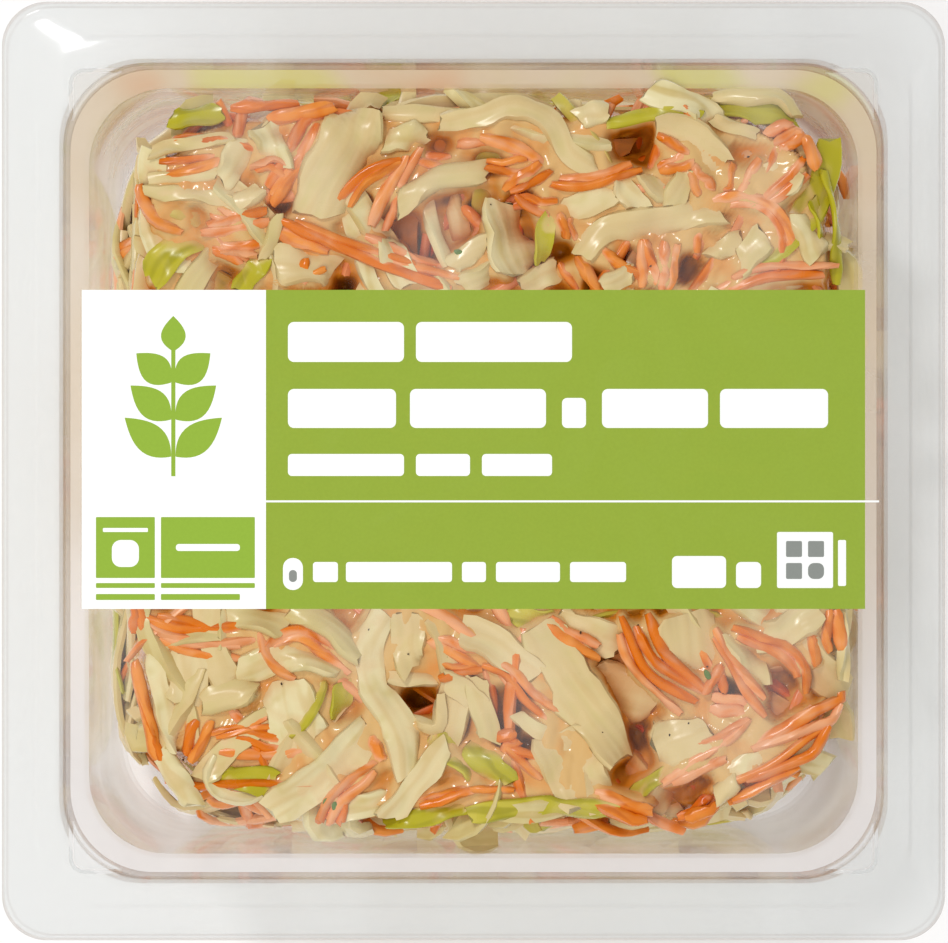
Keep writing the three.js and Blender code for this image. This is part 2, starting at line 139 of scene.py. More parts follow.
@dataclass(frozen=True)
class ShredFinish:
    """A moist raw vegetable shred under a thin coat of creamy dressing.

    The flesh is smooth and slightly see-through, and the coat is oil and yoghurt, which stays wet and
    gives small sharp highlights.
    """

    name: str
    flesh: str
    pale: str
    edge: str
    cream: str
    coat_share: float
    fibre: float  # fibres across one millimetre
    relief: float  # height of the surface relief, in millimetres
    roughness: float = 0.25
    # the painted shade low in the heap multiplies the colour by this
    painted_shade_tint: str = "#DC8622"

    def build(self) -> bpy.types.Material:
        """Build the material.

        Returns:
            The node material, which reads the shreds' own "strip" and "tone" attributes.
        """
        material = start_material(self.name)
        tree = material.node_tree
        place = add(tree, "ShaderNodeTexCoord").outputs["Object"]
        strip = add(tree, "ShaderNodeAttribute", attribute_name="strip").outputs["Vector"]
        tone = add(tree, "ShaderNodeAttribute", attribute_name="tone").outputs["Vector"]
        parts = add(tree, "ShaderNodeSeparateXYZ", {0: tone}).outputs
        # Fibres run along the shred: 6 times as long as they are wide.
        along = add(tree, "ShaderNodeMapping", {"Vector": strip, "Scale": (self.fibre / 6, self.fibre, 1.0)})
        fibres = add(tree, "ShaderNodeTexNoise", {"Vector": along.outputs[0], "Scale": 1.0, "Detail": 0.0})
        # Patches of 2.5 mm where the flesh is paler and the dressing lies thicker.
        smears = add(tree, "ShaderNodeTexNoise", {"Vector": place, "Scale": 400.0, "Detail": 1.0})
        paler = add(
            tree,
            "ShaderNodeMath",
            {0: smears.outputs["Fac"], 1: parts["X"]},
            operation="MULTIPLY",
            use_clamp=True,
        ).outputs[0]
        spread = add(
            tree,
            "ShaderNodeMapRange",
            {"Value": paler, "From Min": 0.08, "From Max": 0.5},
            interpolation_type="SMOOTHSTEP",
        ).outputs[0]
        body = add(
            tree,
            "ShaderNodeMix",
            {0: spread, 6: linear(self.flesh), 7: linear(self.pale)},
            data_type="RGBA",
        ).outputs[2]
        veined = add(
            tree,
            "ShaderNodeMapRange",
            {"Value": fibres.outputs["Fac"], "From Min": 0.5, "From Max": 0.72, "To Max": 0.55},
            interpolation_type="SMOOTHSTEP",
        ).outputs[0]
        body = add(
            tree, "ShaderNodeMix", {0: veined, 6: body, 7: linear(self.edge)}, data_type="RGBA"
        ).outputs[2]
        streaky = add(
            tree, "ShaderNodeMath", {0: fibres.outputs["Fac"], 1: smears.outputs["Fac"]}, operation="ADD"
        ).outputs[0]
        wet = add(tree, "ShaderNodeMath", {0: streaky, 1: 0.6, 2: parts["Y"]}, operation="MULTIPLY_ADD").outputs[0]
        coated = add(
            tree,
            "ShaderNodeMapRange",
            {"Value": wet, "From Min": 0.85, "From Max": 1.45, "To Max": self.coat_share},
            interpolation_type="SMOOTHSTEP",
        ).outputs[0]
        # Next to the dressing the shred runs out into it, with an uneven edge.
        bank = add(
            tree, "ShaderNodeMath", {0: smears.outputs["Fac"], 1: 0.5, 2: parts["Z"]}, operation="MULTIPLY_ADD"
        ).outputs[0]
        bank = add(
            tree,
            "ShaderNodeMapRange",
            {"Value": bank, "From Min": 0.45, "From Max": 1.15, "To Max": 0.9},
            interpolation_type="SMOOTHSTEP",
        ).outputs[0]
        coated = add(tree, "ShaderNodeMath", {0: coated, 1: bank}, operation="MAXIMUM").outputs[0]
        colour = add(
            tree, "ShaderNodeMix", {0: coated, 6: body, 7: linear(self.cream)}, data_type="RGBA"
        ).outputs[2]
        # Painted shade: low in the heap, under the shreds round it, the colour is multiplied darker and warmer, in
        # place of the light that has passed through carrot and dressing.
        low = add(tree, "ShaderNodeAttribute", attribute_name="low").outputs["Fac"]
        colour = add(
            tree,
            "ShaderNodeMix",
            {0: low, 6: colour, 7: linear(self.painted_shade_tint)},
            data_type="RGBA",
            blend_type="MULTIPLY",
        ).outputs[2]
        bump = add(
            tree,
            "ShaderNodeBump",
            {"Height": fibres.outputs["Fac"], "Strength": 0.7, "Distance": self.relief * MM},
        ).outputs[0]
        gloss = add(
            tree,
            "ShaderNodeMapRange",
            {"Value": smears.outputs["Fac"], "To Min": self.roughness - 0.14, "To Max": self.roughness + 0.14},
        ).outputs[0]
        shader = add(
            tree,
            "ShaderNodeBsdfPrincipled",
            {
                "Base Color": colour,
                "Roughness": gloss,
                "Normal": bump,
                "Specular IOR Level": 0.4,
            },
        )
        return finish_material(material, shader)


@dataclass(frozen=True)
class DressingFinish:
    """Creamy mustard dressing: an emulsion, smooth and wet, with painted shade that turns it darker and warmer where it
    lies low among the shreds.
    """

    name: str = "creamy_mustard_dressing"
    cream: str = "#D5AD70"
    # amber and deep are painted shade, half way and darkest, where the dressing lies low among the shreds
    amber: str = "#C6781A"
    blush: str = "#D87E28"  # where a carrot shred shows through
    deep: str = "#7A3E00"

    def build(self) -> bpy.types.Material:
        """Build the material, which reads the dressing's own "hollow" attribute."""
        material = start_material(self.name)
        tree = material.node_tree
        place = add(tree, "ShaderNodeTexCoord").outputs["Object"]
        hollow = add(tree, "ShaderNodeAttribute", attribute_name="hollow").outputs["Fac"]
        smears = add(tree, "ShaderNodeTexNoise", {"Vector": place, "Scale": 300.0, "Detail": 1.0}).outputs["Fac"]
        # Painted shade: cream runs through amber to deep brown as the dressing lies lower under the shreds, broken by
        # smears.
        shade = add(tree, "ShaderNodeMath", {0: hollow, 1: smears}, operation="MULTIPLY").outputs[0]
        depth = add(
            tree,
            "ShaderNodeMapRange",
            {"Value": shade, "From Min": 0.06, "From Max": 0.6},
            interpolation_type="LINEAR",
        ).outputs[0]
        tints = add(tree, "ShaderNodeValToRGB", {"Fac": depth})
        stops = tints.color_ramp.elements
        stops[0].color, stops[1].color = linear(self.cream), linear(self.deep)
        stops.new(0.45).color = linear(self.amber)
        carrot = add(tree, "ShaderNodeAttribute", attribute_name="carrot").outputs["Fac"]
        carrot = add(tree, "ShaderNodeMath", {0: carrot, 1: smears}, operation="MULTIPLY").outputs[0]
        colour = add(
            tree,
            "ShaderNodeMix",
            {0: carrot, 6: tints.outputs[0], 7: linear(self.blush)},
            data_type="RGBA",
        ).outputs[2]
        lumps = add(tree, "ShaderNodeTexNoise", {"Vector": place, "Scale": 700.0, "Detail": 0.0}).outputs["Fac"]
        bump = add(tree, "ShaderNodeBump", {"Height": lumps, "Strength": 0.5, "Distance": 0.25 * MM}).outputs[0]
        shader = add(
            tree,
            "ShaderNodeBsdfPrincipled",
            {
                "Base Color": colour,
                "Roughness": 0.17,
                "Normal": bump,
                "Specular IOR Level": 0.4,
            },
        )
        return finish_material(material, shader)


@dataclass(frozen=True)
class SpeckFinish:
    """A dry, dark, rough speck such as ground pepper or a chopped herb."""

    name: str
    colour: str
    light: str

    def build(self) -> bpy.types.Material:
        """Build the material, mottled on a scale of a third of a millimetre."""
        material = start_material(self.name)
        tree = material.node_tree
        place = add(tree, "ShaderNodeTexCoord").outputs["Object"]
        grain = add(tree, "ShaderNodeTexNoise", {"Vector": place, "Scale": 3000.0}).outputs["Fac"]
        colour = add(
            tree,
            "ShaderNodeMix",
            {0: grain, 6: linear(self.colour), 7: linear(self.light)},
            data_type="RGBA",
        ).outputs[2]
        shader = add(tree, "ShaderNodeBsdfPrincipled", {"Base Color": colour, "Roughness": 0.5})
        return finish_material(material, shader)


@dataclass(frozen=True)
class ClearSheetFinish:
    """Clear polyester sheet, thermoformed: glossy, and hazy where the drawing stretched it.

    The wall carries a milky smear of dressing and, as a painted reflection, the soft colours of the
    food behind it, so it gets low streaks along each side; the flange stays a cool pale grey.
    """

    name: str = "clear_polyester_sheet"
    flange: str = "#CDD0CE"
    wall: str = "#F0DCC0"
    ledge: str = "#CFB898"
    near: str = "#DCD5D2"
    rose: str = "#CF8F5E"
    leaf: str = "#C9BE62"
    base: str = "#E6DAD6"
    line: str = "#94765C"
    flange_alpha: float = 0.3
    wall_alpha: float = 0.12  # of the wall seen straight on
    glancing_alpha: float = 0.5  # of the wall seen along its face, and of the ledge
    smear_alpha: float = 0.45
    line_alpha: float = 0.6

    def build(self) -> bpy.types.Material:
        """Build the material; its colour and alpha follow the height in Object coordinates."""
        material = start_material(self.name)
        tree = material.node_tree
        place = add(tree, "ShaderNodeTexCoord").outputs["Object"]
        height = add(tree, "ShaderNodeSeparateXYZ", {0: place}).outputs["Z"]
        # Streaks are 16 mm long and 6 mm high, and lie along the sides of the tub.
        flat = add(tree, "ShaderNodeMapping", {"Vector": place, "Scale": (60.0, 60.0, 170.0)})
        streaks = add(tree, "ShaderNodeTexNoise", {"Vector": flat.outputs[0], "Scale": 1.0, "Detail": 1.0})
        tints = add(tree, "ShaderNodeMapping", {"Vector": place, "Scale": (45.0, 45.0, 160.0), "Location": (7.0, 3.0, 1.0)})
        clouds = add(tree, "ShaderNodeTexNoise", {"Vector": tints.outputs[0], "Scale": 1.0, "Detail": 1.0})
        across = add(tree, "ShaderNodeSeparateXYZ", {0: place}).outputs["Y"]
        far = add(
            tree,
            "ShaderNodeMapRange",
            {"Value": across, "From Min": 0.03, "From Max": 0.05},
            interpolation_type="SMOOTHSTEP",
        ).outputs[0]
        rosy, leafy = (
            add(
                tree,
                "ShaderNodeMath",
                {
                    0: add(
                        tree,
                        "ShaderNodeMapRange",
                        {"Value": clouds.outputs["Fac"], "From Min": start, "From Max": end},
                        interpolation_type="SMOOTHSTEP",
                    ).outputs[0],
                    1: far,
                },
                operation="MULTIPLY",
            ).outputs[0]
            for start, end in ((0.46, 0.66), (0.44, 0.3))
        )
        shelf = add(
            tree,
            "ShaderNodeMapRange",
            {"Value": height, "From Min": 0.0325, "From Max": 0.0336},
            interpolation_type="SMOOTHSTEP",
        ).outputs[0]
        # The wall tint is a painted reflection of the food, made pale in place of the light the clear sheet lets
        # through; the rose and leaf green patches on the +Y wall are partly the smeared dressing's colour and partly
        # painted reflection.
        wall = add(
            tree, "ShaderNodeMix", {0: shelf, 6: linear(self.wall), 7: linear(self.ledge)}, data_type="RGBA"
        ).outputs[2]
        near = add(
            tree,
            "ShaderNodeMapRange",
            {"Value": across, "From Min": 0.02, "From Max": -0.045},
            interpolation_type="SMOOTHSTEP",
        ).outputs[0]
        wall = add(
            tree, "ShaderNodeMix", {0: near, 6: wall, 7: linear(self.near)}, data_type="RGBA"
        ).outputs[2]
        wall = add(tree, "ShaderNodeMix", {0: rosy, 6: wall, 7: linear(self.rose)}, data_type="RGBA").outputs[2]
        wall = add(tree, "ShaderNodeMix", {0: leafy, 6: wall, 7: linear(self.leaf)}, data_type="RGBA").outputs[2]
        low = add(
            tree,
            "ShaderNodeMapRange",
            {"Value": height, "From Min": 0.012, "From Max": 0.003},
            interpolation_type="SMOOTHSTEP",
        ).outputs[0]
        wall = add(tree, "ShaderNodeMix", {0: low, 6: wall, 7: linear(self.base)}, data_type="RGBA").outputs[2]
        rim = add(
            tree,
            "ShaderNodeMapRange",
            {"Value": height, "From Min": 0.0346, "From Max": 0.035},
            interpolation_type="SMOOTHSTEP",
        ).outputs[0]
        colour = add(tree, "ShaderNodeMix", {0: rim, 6: wall, 7: linear(self.flange)}, data_type="RGBA").outputs[2]
        # The wall is clear seen straight on, and milky seen along its face: a painted reflection of the heap and the
        # room, where the sheet reflects most.
        steep = add(tree, "ShaderNodeLayerWeight", {"Blend": 0.5}).outputs["Facing"]
        milky = add(
            tree, "ShaderNodeMapRange", {"Value": steep, "From Min": 0.45, "From Max": 0.85}
        ).outputs[0]
        milky = add(tree, "ShaderNodeMath", {0: milky, 1: shelf}, operation="MAXIMUM").outputs[0]
        veil = add(tree, "ShaderNodeMix", {0: milky, 2: self.wall_alpha, 3: self.glancing_alpha}).outputs[0]
        veil = add(
            tree,
            "ShaderNodeMath",
            {0: add(tree, "ShaderNodeMath", {0: streaks.outputs["Fac"], 1: 0.5}, operation="ADD").outputs[0], 1: veil},
            operation="MULTIPLY",
        ).outputs[0]
        # Dressing smears the inside, most on the +Y wall, where the tub was tipped.
        smear = add(tree, "ShaderNodeMath", {0: clouds.outputs["Fac"], 1: far}, operation="MULTIPLY").outputs[0]
        veil = add(
            tree, "ShaderNodeMath", {0: smear, 1: self.smear_alpha, 2: veil}, operation="MULTIPLY_ADD", use_clamp=True
        ).outputs[0]
        alpha = add(tree, "ShaderNodeMix", {0: rim, 2: veil, 3: self.flange_alpha}).outputs[0]
        # Steep faces above the ledge, such as the mouth, the pockets and the lip, read as lines: a painted dark edge,
        # in place of the light that the clear sheet bends and reflects there.
        above = add(tree, "ShaderNodeMath", {0: height, 1: 0.0342}, operation="GREATER_THAN").outputs[0]
        line = add(
            tree,
            "ShaderNodeMapRange",
            {"Value": steep, "From Min": 0.35, "From Max": 0.9},
            interpolation_type="SMOOTHSTEP",
        ).outputs[0]
        line = add(tree, "ShaderNodeMath", {0: line, 1: above}, operation="MULTIPLY").outputs[0]
        colour = add(tree, "ShaderNodeMix", {0: line, 6: colour, 7: linear(self.line)}, data_type="RGBA").outputs[2]
        alpha = add(tree, "ShaderNodeMix", {0: line, 2: alpha, 3: self.line_alpha}).outputs[0]
        alpha = let_light_through(tree, alpha, 0.12)
        shader = add(
            tree,
            "ShaderNodeBsdfPrincipled",
            {
                "Base Color": colour,
                "Alpha": alpha,
                "Roughness": 0.12,
                "IOR": 1.57,
                "Coat Weight": 0.4,
                "Coat Roughness": 0.05,
            },
        )
        return finish_material(material, shader)


@dataclass(frozen=True)
class FilmFinish:
    """Thin clear lidding film, heat-sealed: glossy, with ripples that catch the light."""

    name: str = "clear_lidding_film"
    colour: str = "#F5F7F6"
    alpha: float = 0.05  # in the densest streak

    def build(self) -> bpy.types.Material:
        """Build the material, clear but for faint streaks of painted sheen 8 to 20 mm apart."""
        material = start_material(self.name)
        tree = material.node_tree
        place = add(tree, "ShaderNodeTexCoord").outputs["Object"]
        drawn = add(tree, "ShaderNodeMapping", {"Vector": place, "Scale": (1.0, 0.4, 1.0)}).outputs[0]
        ripples = add(tree, "ShaderNodeTexNoise", {"Vector": drawn, "Scale": 90.0, "Detail": 0.0}).outputs["Fac"]
        # Painted sheen: faint white streaks where the ripples catch the light, with a faint milky haze; the film is
        # clear between them.
        streaks = add(
            tree, "ShaderNodeMapRange", {"Value": ripples, "From Min": 0.52, "From Max": 0.75, "To Max": self.alpha}
        ).outputs[0]
        shader = add(
            tree,
            "ShaderNodeBsdfPrincipled",
            {"Base Color": linear(self.colour), "Alpha": streaks, "Roughness": 0.08, "Specular IOR Level": 0.3},
        )
        return finish_material(material, shader)


@dataclass(frozen=True)
class InkFinish:
    """Flexographic ink on film: flat colour with a fine grain, under the film's gloss."""

    name: str
    colour: str
    alpha: float = 1.0

    def build(self) -> bpy.types.Material:
        """Build the material; the ink's grain is 0.4 mm, as coarse as it needs to show."""
        material = start_material(self.name)
        tree = material.node_tree
        place = add(tree, "ShaderNodeTexCoord").outputs["Object"]
        grain = add(tree, "ShaderNodeTexNoise", {"Vector": place, "Scale": 2500.0, "Detail": 0.0}).outputs["Fac"]
        value = add(tree, "ShaderNodeMapRange", {"Value": grain, "To Min": 0.97, "To Max": 1.03}).outputs[0]
        colour = add(
            tree, "ShaderNodeHueSaturation", {"Color": linear(self.colour), "Value": value}
        ).outputs[0]
        shader = add(
            tree,
            "ShaderNodeBsdfPrincipled",
            {"Base Color": colour, "Alpha": self.alpha, "Roughness": 0.4, "Specular IOR Level": 0.15},
        )
        return finish_material(material, shader)


@dataclass(frozen=True)
class FloorFinish:
    """A matt white studio sweep."""

    name: str = "matt_white_sweep"
    colour: str = "#FCFCFC"

    def build(self) -> bpy.types.Material:
        """Build the material with a faint unevenness on a scale of 50 mm."""
        material = start_material(self.name)
        tree = material.node_tree
        place = add(tree, "ShaderNodeTexCoord").outputs["Object"]
        cloud = add(tree, "ShaderNodeTexNoise", {"Vector": place, "Scale": 20.0}).outputs["Fac"]
        rough = add(tree, "ShaderNodeMapRange", {"Value": cloud, "To Min": 0.8, "To Max": 0.95}).outputs[0]
        shader = add(
            tree, "ShaderNodeBsdfPrincipled", {"Base Color": linear(self.colour), "Roughness": rough}
        )
        return finish_material(material, shader)


def hold(
    piece: bpy.types.Object, slot: str, *nodes: str, material: bpy.types.Material | None = None
) -> bpy.types.Object:
    """Fix a finished piece to the frame.

    Args:
        piece: The finished object, with its place in its mesh.
        slot: The record's material slot; it is not used.
        *nodes: The CAD nodes that the piece stands for.
        material: The finish to put on it.

    Returns:
        The same piece.
    """
    if material is not None:
        piece.data.materials.clear()
        piece.data.materials.append(material)
    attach(piece, ROOT)
    if nodes:
        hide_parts(*nodes)
    log.info("%s: %d faces", piece.name, len(piece.data.polygons))
    return piece


def write_mesh(name: str, bm: bmesh.types.BMesh, sharp_degrees: float = 35.0) -> bpy.types.Object:
    """Turn a bmesh in millimetres into a smooth-shaded object in metres.

    Args:
        name: The piece's name.
        bm: The mesh, which is freed.
        sharp_degrees: Edges bent by more than this stay sharp.

    Returns:
        The new object, linked to the scene.
    """
    bmesh.ops.scale(bm, vec=(MM, MM, MM), verts=bm.verts)
    mesh = bpy.data.meshes.new(name)
    bm.to_mesh(mesh)
    bm.free()
    mesh.shade_smooth()
    mesh.set_sharp_from_angle(angle=math.radians(sharp_degrees))
    piece = bpy.data.objects.new(name, mesh)
    bpy.context.collection.objects.link(piece)
    return piece


def clear_of_light(piece: bpy.types.Object) -> None:
    """Let soft light pass a clear piece untouched, so that it casts no shadow of its own."""
    piece.visible_shadow = piece.visible_diffuse = piece.visible_glossy = False


def arc(centre: Point, radius: float, start: float, end: float, steps: int) -> list[Point]:
    """Points of an arc.

    Args:
        centre: Its centre.
        radius: Its radius.
        start: First angle, in degrees.
        end: Last angle, in degrees.
        steps: Number of chords.

    Returns:
        steps + 1 points.
    """
    angles = (math.radians(start + (end - start) * i / steps) for i in range(steps + 1))
    return [(centre[0] + radius * math.cos(a), centre[1] + radius * math.sin(a)) for a in angles]


@dataclass
class RoundedSquare:
    """The plan of the tub: a square with round corners, walked anticlockwise from its +X side."""

    side_steps: int = 8
    corner_steps: int = 16

    @property
    def count(self) -> int:
        """Number of points round the rim."""
        return 4 * (self.side_steps + self.corner_steps)

    def point(self, index: int, half: float, corner: float) -> Point:
        """Give one point of the rim.

        Args:
            index: Its number.
            half: Half the square's width.
            corner: The corner radius.

        Returns:
            Its X and Y.
        """
        side, step = divmod(index % self.count, self.side_steps + self.corner_steps)
        radius = min(corner, half)
        straight = half - radius
        x, y = half, straight * (2 * step / self.side_steps - 1)
        if step > self.side_steps:
            angle = (step - self.side_steps) / self.corner_steps * math.pi / 2
            x, y = straight + radius * math.cos(angle), straight + radius * math.sin(angle)
        turn = side * math.pi / 2
        return x * math.cos(turn) - y * math.sin(turn), x * math.sin(turn) + y * math.cos(turn)


def squared_lathe(rows: Sequence[tuple[float, float, float]], plan: RoundedSquare) -> bmesh.types.BMesh:
    """Extrude a rounded square through a profile, row by row, and close both ends.

    Args:
        rows: Half width, height and corner radius of each ring.
        plan: How finely the rings are divided.

    Returns:
        A closed mesh with its faces pointing out.
    """
    bm = bmesh.new()
    column = bm.verts.layers.int.new("column")
    ring = bmesh.ops.create_circle(bm, cap_ends=True, segments=plan.count, radius=1.0)["verts"]
    for index, vert in enumerate(ring):
        vert[column] = index
    edges = list(bm.edges)
    for number, (half, height, corner) in enumerate(rows):
        if number:
            made = bmesh.ops.extrude_edge_only(bm, edges=edges)["geom"]
            ring = [part for part in made if isinstance(part, bmesh.types.BMVert)]
            edges = [part for part in made if isinstance(part, bmesh.types.BMEdge)]
        for vert in ring:
            x, y = plan.point(vert[column], half, corner)
            vert.co = (x, y * DEPTH_SHARE, height)
    bmesh.ops.edgeloop_fill(bm, edges=edges)
    bmesh.ops.recalc_face_normals(bm, faces=bm.faces)
    return bm


def plate(
    left: float, near: float, right: float, far: float, low: float, high: float, corner: float = 0.0
) -> bmesh.types.BMesh:
    """Make a flat plate, its upright edges rounded if a corner radius is given.

    Args:
        left: Lowest X.
        near: Lowest Y.
        right: Highest X.
        far: Highest Y.
        low: Lowest Z.
        high: Highest Z.
        corner: Radius of the upright edges.

    Returns:
        The plate.
    """
    bm = bmesh.new()
    verts = bmesh.ops.create_cube(bm, size=1.0)["verts"]
    bmesh.ops.scale(bm, vec=(right - left, far - near, high - low), verts=verts)
    bmesh.ops.translate(bm, vec=((left + right) / 2, (near + far) / 2, (low + high) / 2), verts=verts)
    if corner > 0:
        upright = [e for e in bm.edges if abs(e.verts[0].co.z - e.verts[1].co.z) > (high - low) / 2]
        bmesh.ops.bevel(
            bm, geom=upright, offset=corner, segments=6, profile=0.5, affect="EDGES", material=-1
        )
    return bm


def applied(target: bpy.types.Object, *tools: tuple[bpy.types.Object, str]) -> bpy.types.Mesh:
    """Join and cut a body with others, and remove them all.

    Args:
        target: The body.
        *tools: Each other body, and UNION or DIFFERENCE.

    Returns:
        The result as a mesh.
    """
    for tool, operation in tools:
        modifier = target.modifiers.new(operation, "BOOLEAN")
        modifier.operation = operation
        modifier.solver = "MANIFOLD"
        modifier.object = tool
    graph = bpy.context.evaluated_depsgraph_get()
    mesh = bpy.data.meshes.new_from_object(target.evaluated_get(graph))
    for body in (target, *(tool for tool, _ in tools)):
        bpy.data.objects.remove(body)
    return mesh


@dataclass
class Tub:
    """The thermoformed tub: foot, wall, stacking ledge, sealing flange and corner pockets."""

    width: float = 125.0
    top: float = 38.0
    sheet: float = 0.6
    cavity: float = 54.25
    cavity_corner: float = 11.0
    rim_lean: float = 0.8
    mouth_round: float = 0.5
    ledge: float = 51.6
    ledge_drop: float = 4.0
    ledge_slope: float = 0.2
    foot: float = 47.8
    foot_radius: float = 2.0
    panel: float = 35.0
    panel_raise: float = 1.0
    flange_corner: float = 6.0
    land_end: float = 57.6
    land_corner: float = 9.0
    land_step: float = 0.4
    step_run: float = 0.5
    lip_drop: float = 2.6
    lip_round: float = 0.8
    lip_draft: float = 0.3
    pocket: float = 53.0
    pocket_corner: float = 1.5
    pocket_drop: float = 2.6
    plan: RoundedSquare = field(default_factory=RoundedSquare)

    def foot_rows(self, half: float, bottom: float, radius: float, corner: float) -> list[tuple[float, float, float]]:
        """Rows of the round from the base into the wall."""
        bend = arc((half - radius, bottom + radius), radius, -90.0, 0.0, 6)
        return [(x, z, corner) for x, z in bend]

    def outer_rows(self) -> list[tuple[float, float, float]]:
        """Rows of the outer face, from the middle of the base round the flange to its top."""
        edge, ledge, flange = self.width / 2, self.top - self.ledge_drop, self.top - self.land_step
        corner, land = self.cavity_corner, self.land_corner
        lip = arc((edge - self.lip_draft - self.lip_round, flange - self.lip_round), self.lip_round, 0.0, 90.0, 5)
        return [
            (self.panel - self.panel_raise, self.panel_raise, corner - self.panel_raise),
            (self.panel, 0.0, corner),
            *self.foot_rows(self.foot, 0.0, self.foot_radius, corner),
            (self.ledge, ledge - self.sheet, corner),
            (self.cavity - self.rim_lean + self.sheet, ledge - self.sheet + self.ledge_slope, corner),
            (self.cavity + self.sheet, self.top - self.sheet - self.mouth_round, corner),
            (self.cavity + self.sheet + self.mouth_round, self.top - self.sheet, corner),
            (self.land_end, self.top - self.sheet, land),
            (self.land_end + self.step_run, flange - self.sheet, land - self.step_run),
            (edge - self.sheet - 2 * self.lip_round, flange - self.sheet, self.flange_corner),
            (edge - self.sheet - self.lip_draft, flange - self.sheet - self.lip_round, self.flange_corner),
            (edge - self.sheet, self.top - self.lip_drop, self.flange_corner),
            (edge, self.top - self.lip_drop, self.flange_corner),
            *((x, z, self.flange_corner) for x, z in lip),
            (self.land_end + self.step_run, flange, land - self.step_run),
            (self.land_end, self.top, land),
        ]

    def inner_rows(self) -> list[tuple[float, float, float]]:
        """Rows of the inner face, from the middle of the base up through the mouth."""
        ledge, corner = self.top - self.ledge_drop, self.cavity_corner
        mouth = arc((self.cavity + self.mouth_round, self.top - self.mouth_round), self.mouth_round, 180.0, 90.0, 4)
        return [
            (self.panel - self.panel_raise, self.panel_raise + self.sheet, corner - self.panel_raise),
            (self.panel, self.sheet, corner),
            *self.foot_rows(self.foot - self.sheet, self.sheet, self.foot_radius - self.sheet, corner - self.sheet),
            (self.ledge - self.sheet, ledge, corner - self.sheet),
            (self.cavity - self.rim_lean, ledge + self.ledge_slope, corner),
            *((x, z, corner) for x, z in mouth),
            (self.cavity + self.mouth_round, self.top + 1.0, corner),
        ]

    def pocket_block(self, half: float, corner: float, low: float, high: float) -> bmesh.types.BMesh:
        """A square block of the corner pockets."""
        deep = half * DEPTH_SHARE
        return plate(-half, -deep, half, deep, low, high, corner)

    def build(self, finish: ClearSheetFinish) -> bpy.types.Object:
        """Form the tub and dress it.

        Args:
            finish: Its clear sheet.

        Returns:
            The finished tub.
        """
        floor = self.top - self.pocket_drop
        body = write_mesh("body", squared_lathe(self.outer_rows(), self.plan))
        hollow = write_mesh("hollow", squared_lathe(self.inner_rows(), self.plan))
        shell = write_mesh(
            "shell",
            self.pocket_block(
                self.pocket + self.sheet, self.pocket_corner + self.sheet, floor - self.sheet, self.top - 0.8
            ),
        )
        recess = write_mesh("recess", self.pocket_block(self.pocket, self.pocket_corner, floor, self.top + 1.0))
        mesh = applied(body, (shell, "UNION"), (hollow, "DIFFERENCE"), (recess, "DIFFERENCE"))
        mesh.name = "clear_tub"
        mesh.shade_smooth()
        mesh.set_sharp_from_angle(angle=math.radians(28.0))
        tub = bpy.data.objects.new("clear_tub", mesh)
        bpy.context.collection.objects.link(tub)
        clear_of_light(tub)
        return hold(tub, "tub_plastic", "tub", material=finish.build())

    def wall_half(self, height: float) -> float:
        """Half the width of the inner face at a height."""
        share = (height - self.foot_radius) / (self.top - self.ledge_drop - self.foot_radius)
        share = min(max(share, 0.0), 1.0)
        sunk = min(max(self.foot_radius - height, 0.0), self.foot_radius)
        bend = self.foot_radius - math.sqrt(self.foot_radius**2 - sunk**2)
        return self.foot + (self.ledge - self.foot) * share - self.sheet - bend


@dataclass
class Film:
    """The lidding film: a thin rippled sheet, sealed flat on the flange."""

    half: float = 61.5
    corner: float = 5.0
    height: float = 38.1
    thickness: float = 0.04
    ripple: float = 0.05
    land: float = 54.0
    steps: int = 90

    def build(self, finish: FilmFinish) -> bpy.types.Object:
        """Make the sheet and dress it.

        Args:
            finish: Its clear film.

        Returns:
            The finished film.
        """
        bm = bmesh.new()
        bmesh.ops.create_grid(bm, x_segments=self.steps, y_segments=self.steps, size=1.0)
        for vert in bm.verts:
            x, y = rounded(vert.co.x, vert.co.y, self.half, self.corner / self.half)
            slack = max(0.0, 1 - (max(abs(x), abs(y)) / self.land) ** 4)
            wave = math.sin(0.21 * x + 0.9 * math.sin(0.07 * y)) * math.cos(0.17 * y + 0.05 * x)
            vert.co = (x, y * DEPTH_SHARE, self.height + self.ripple * slack * wave)
        bmesh.ops.solidify(bm, geom=bm.faces, thickness=-self.thickness)
        bmesh.ops.recalc_face_normals(bm, faces=bm.faces)
        film = write_mesh("clear_film", bm)
        clear_of_light(film)
        return hold(film, "film_plastic", "film", material=finish.build())


def rounded(u: float, v: float, half: float, share: float) -> Point:
    """Map a point of the square from -1 to 1 onto a square with round corners.

    Args:
        u: Its X.
        v: Its Y.
        half: Half the rounded square's width.
        share: Its corner radius over that half width.

    Returns:
        The mapped X and Y.
    """
    reach = max(abs(u), abs(v))
    if reach == 0:
        return 0.0, 0.0
    a, b = abs(u) / reach, abs(v) / reach
    flat = 1 - share
    if min(a, b) > flat:
        # Where the ray through the point meets the corner's circle.
        length2, dot = a * a + b * b, flat * (a + b)
        hit = (dot + math.sqrt(dot * dot - length2 * (2 * flat * flat - share * share))) / length2
        return u * half * hit, v * half * hit
    return u * half, v * half


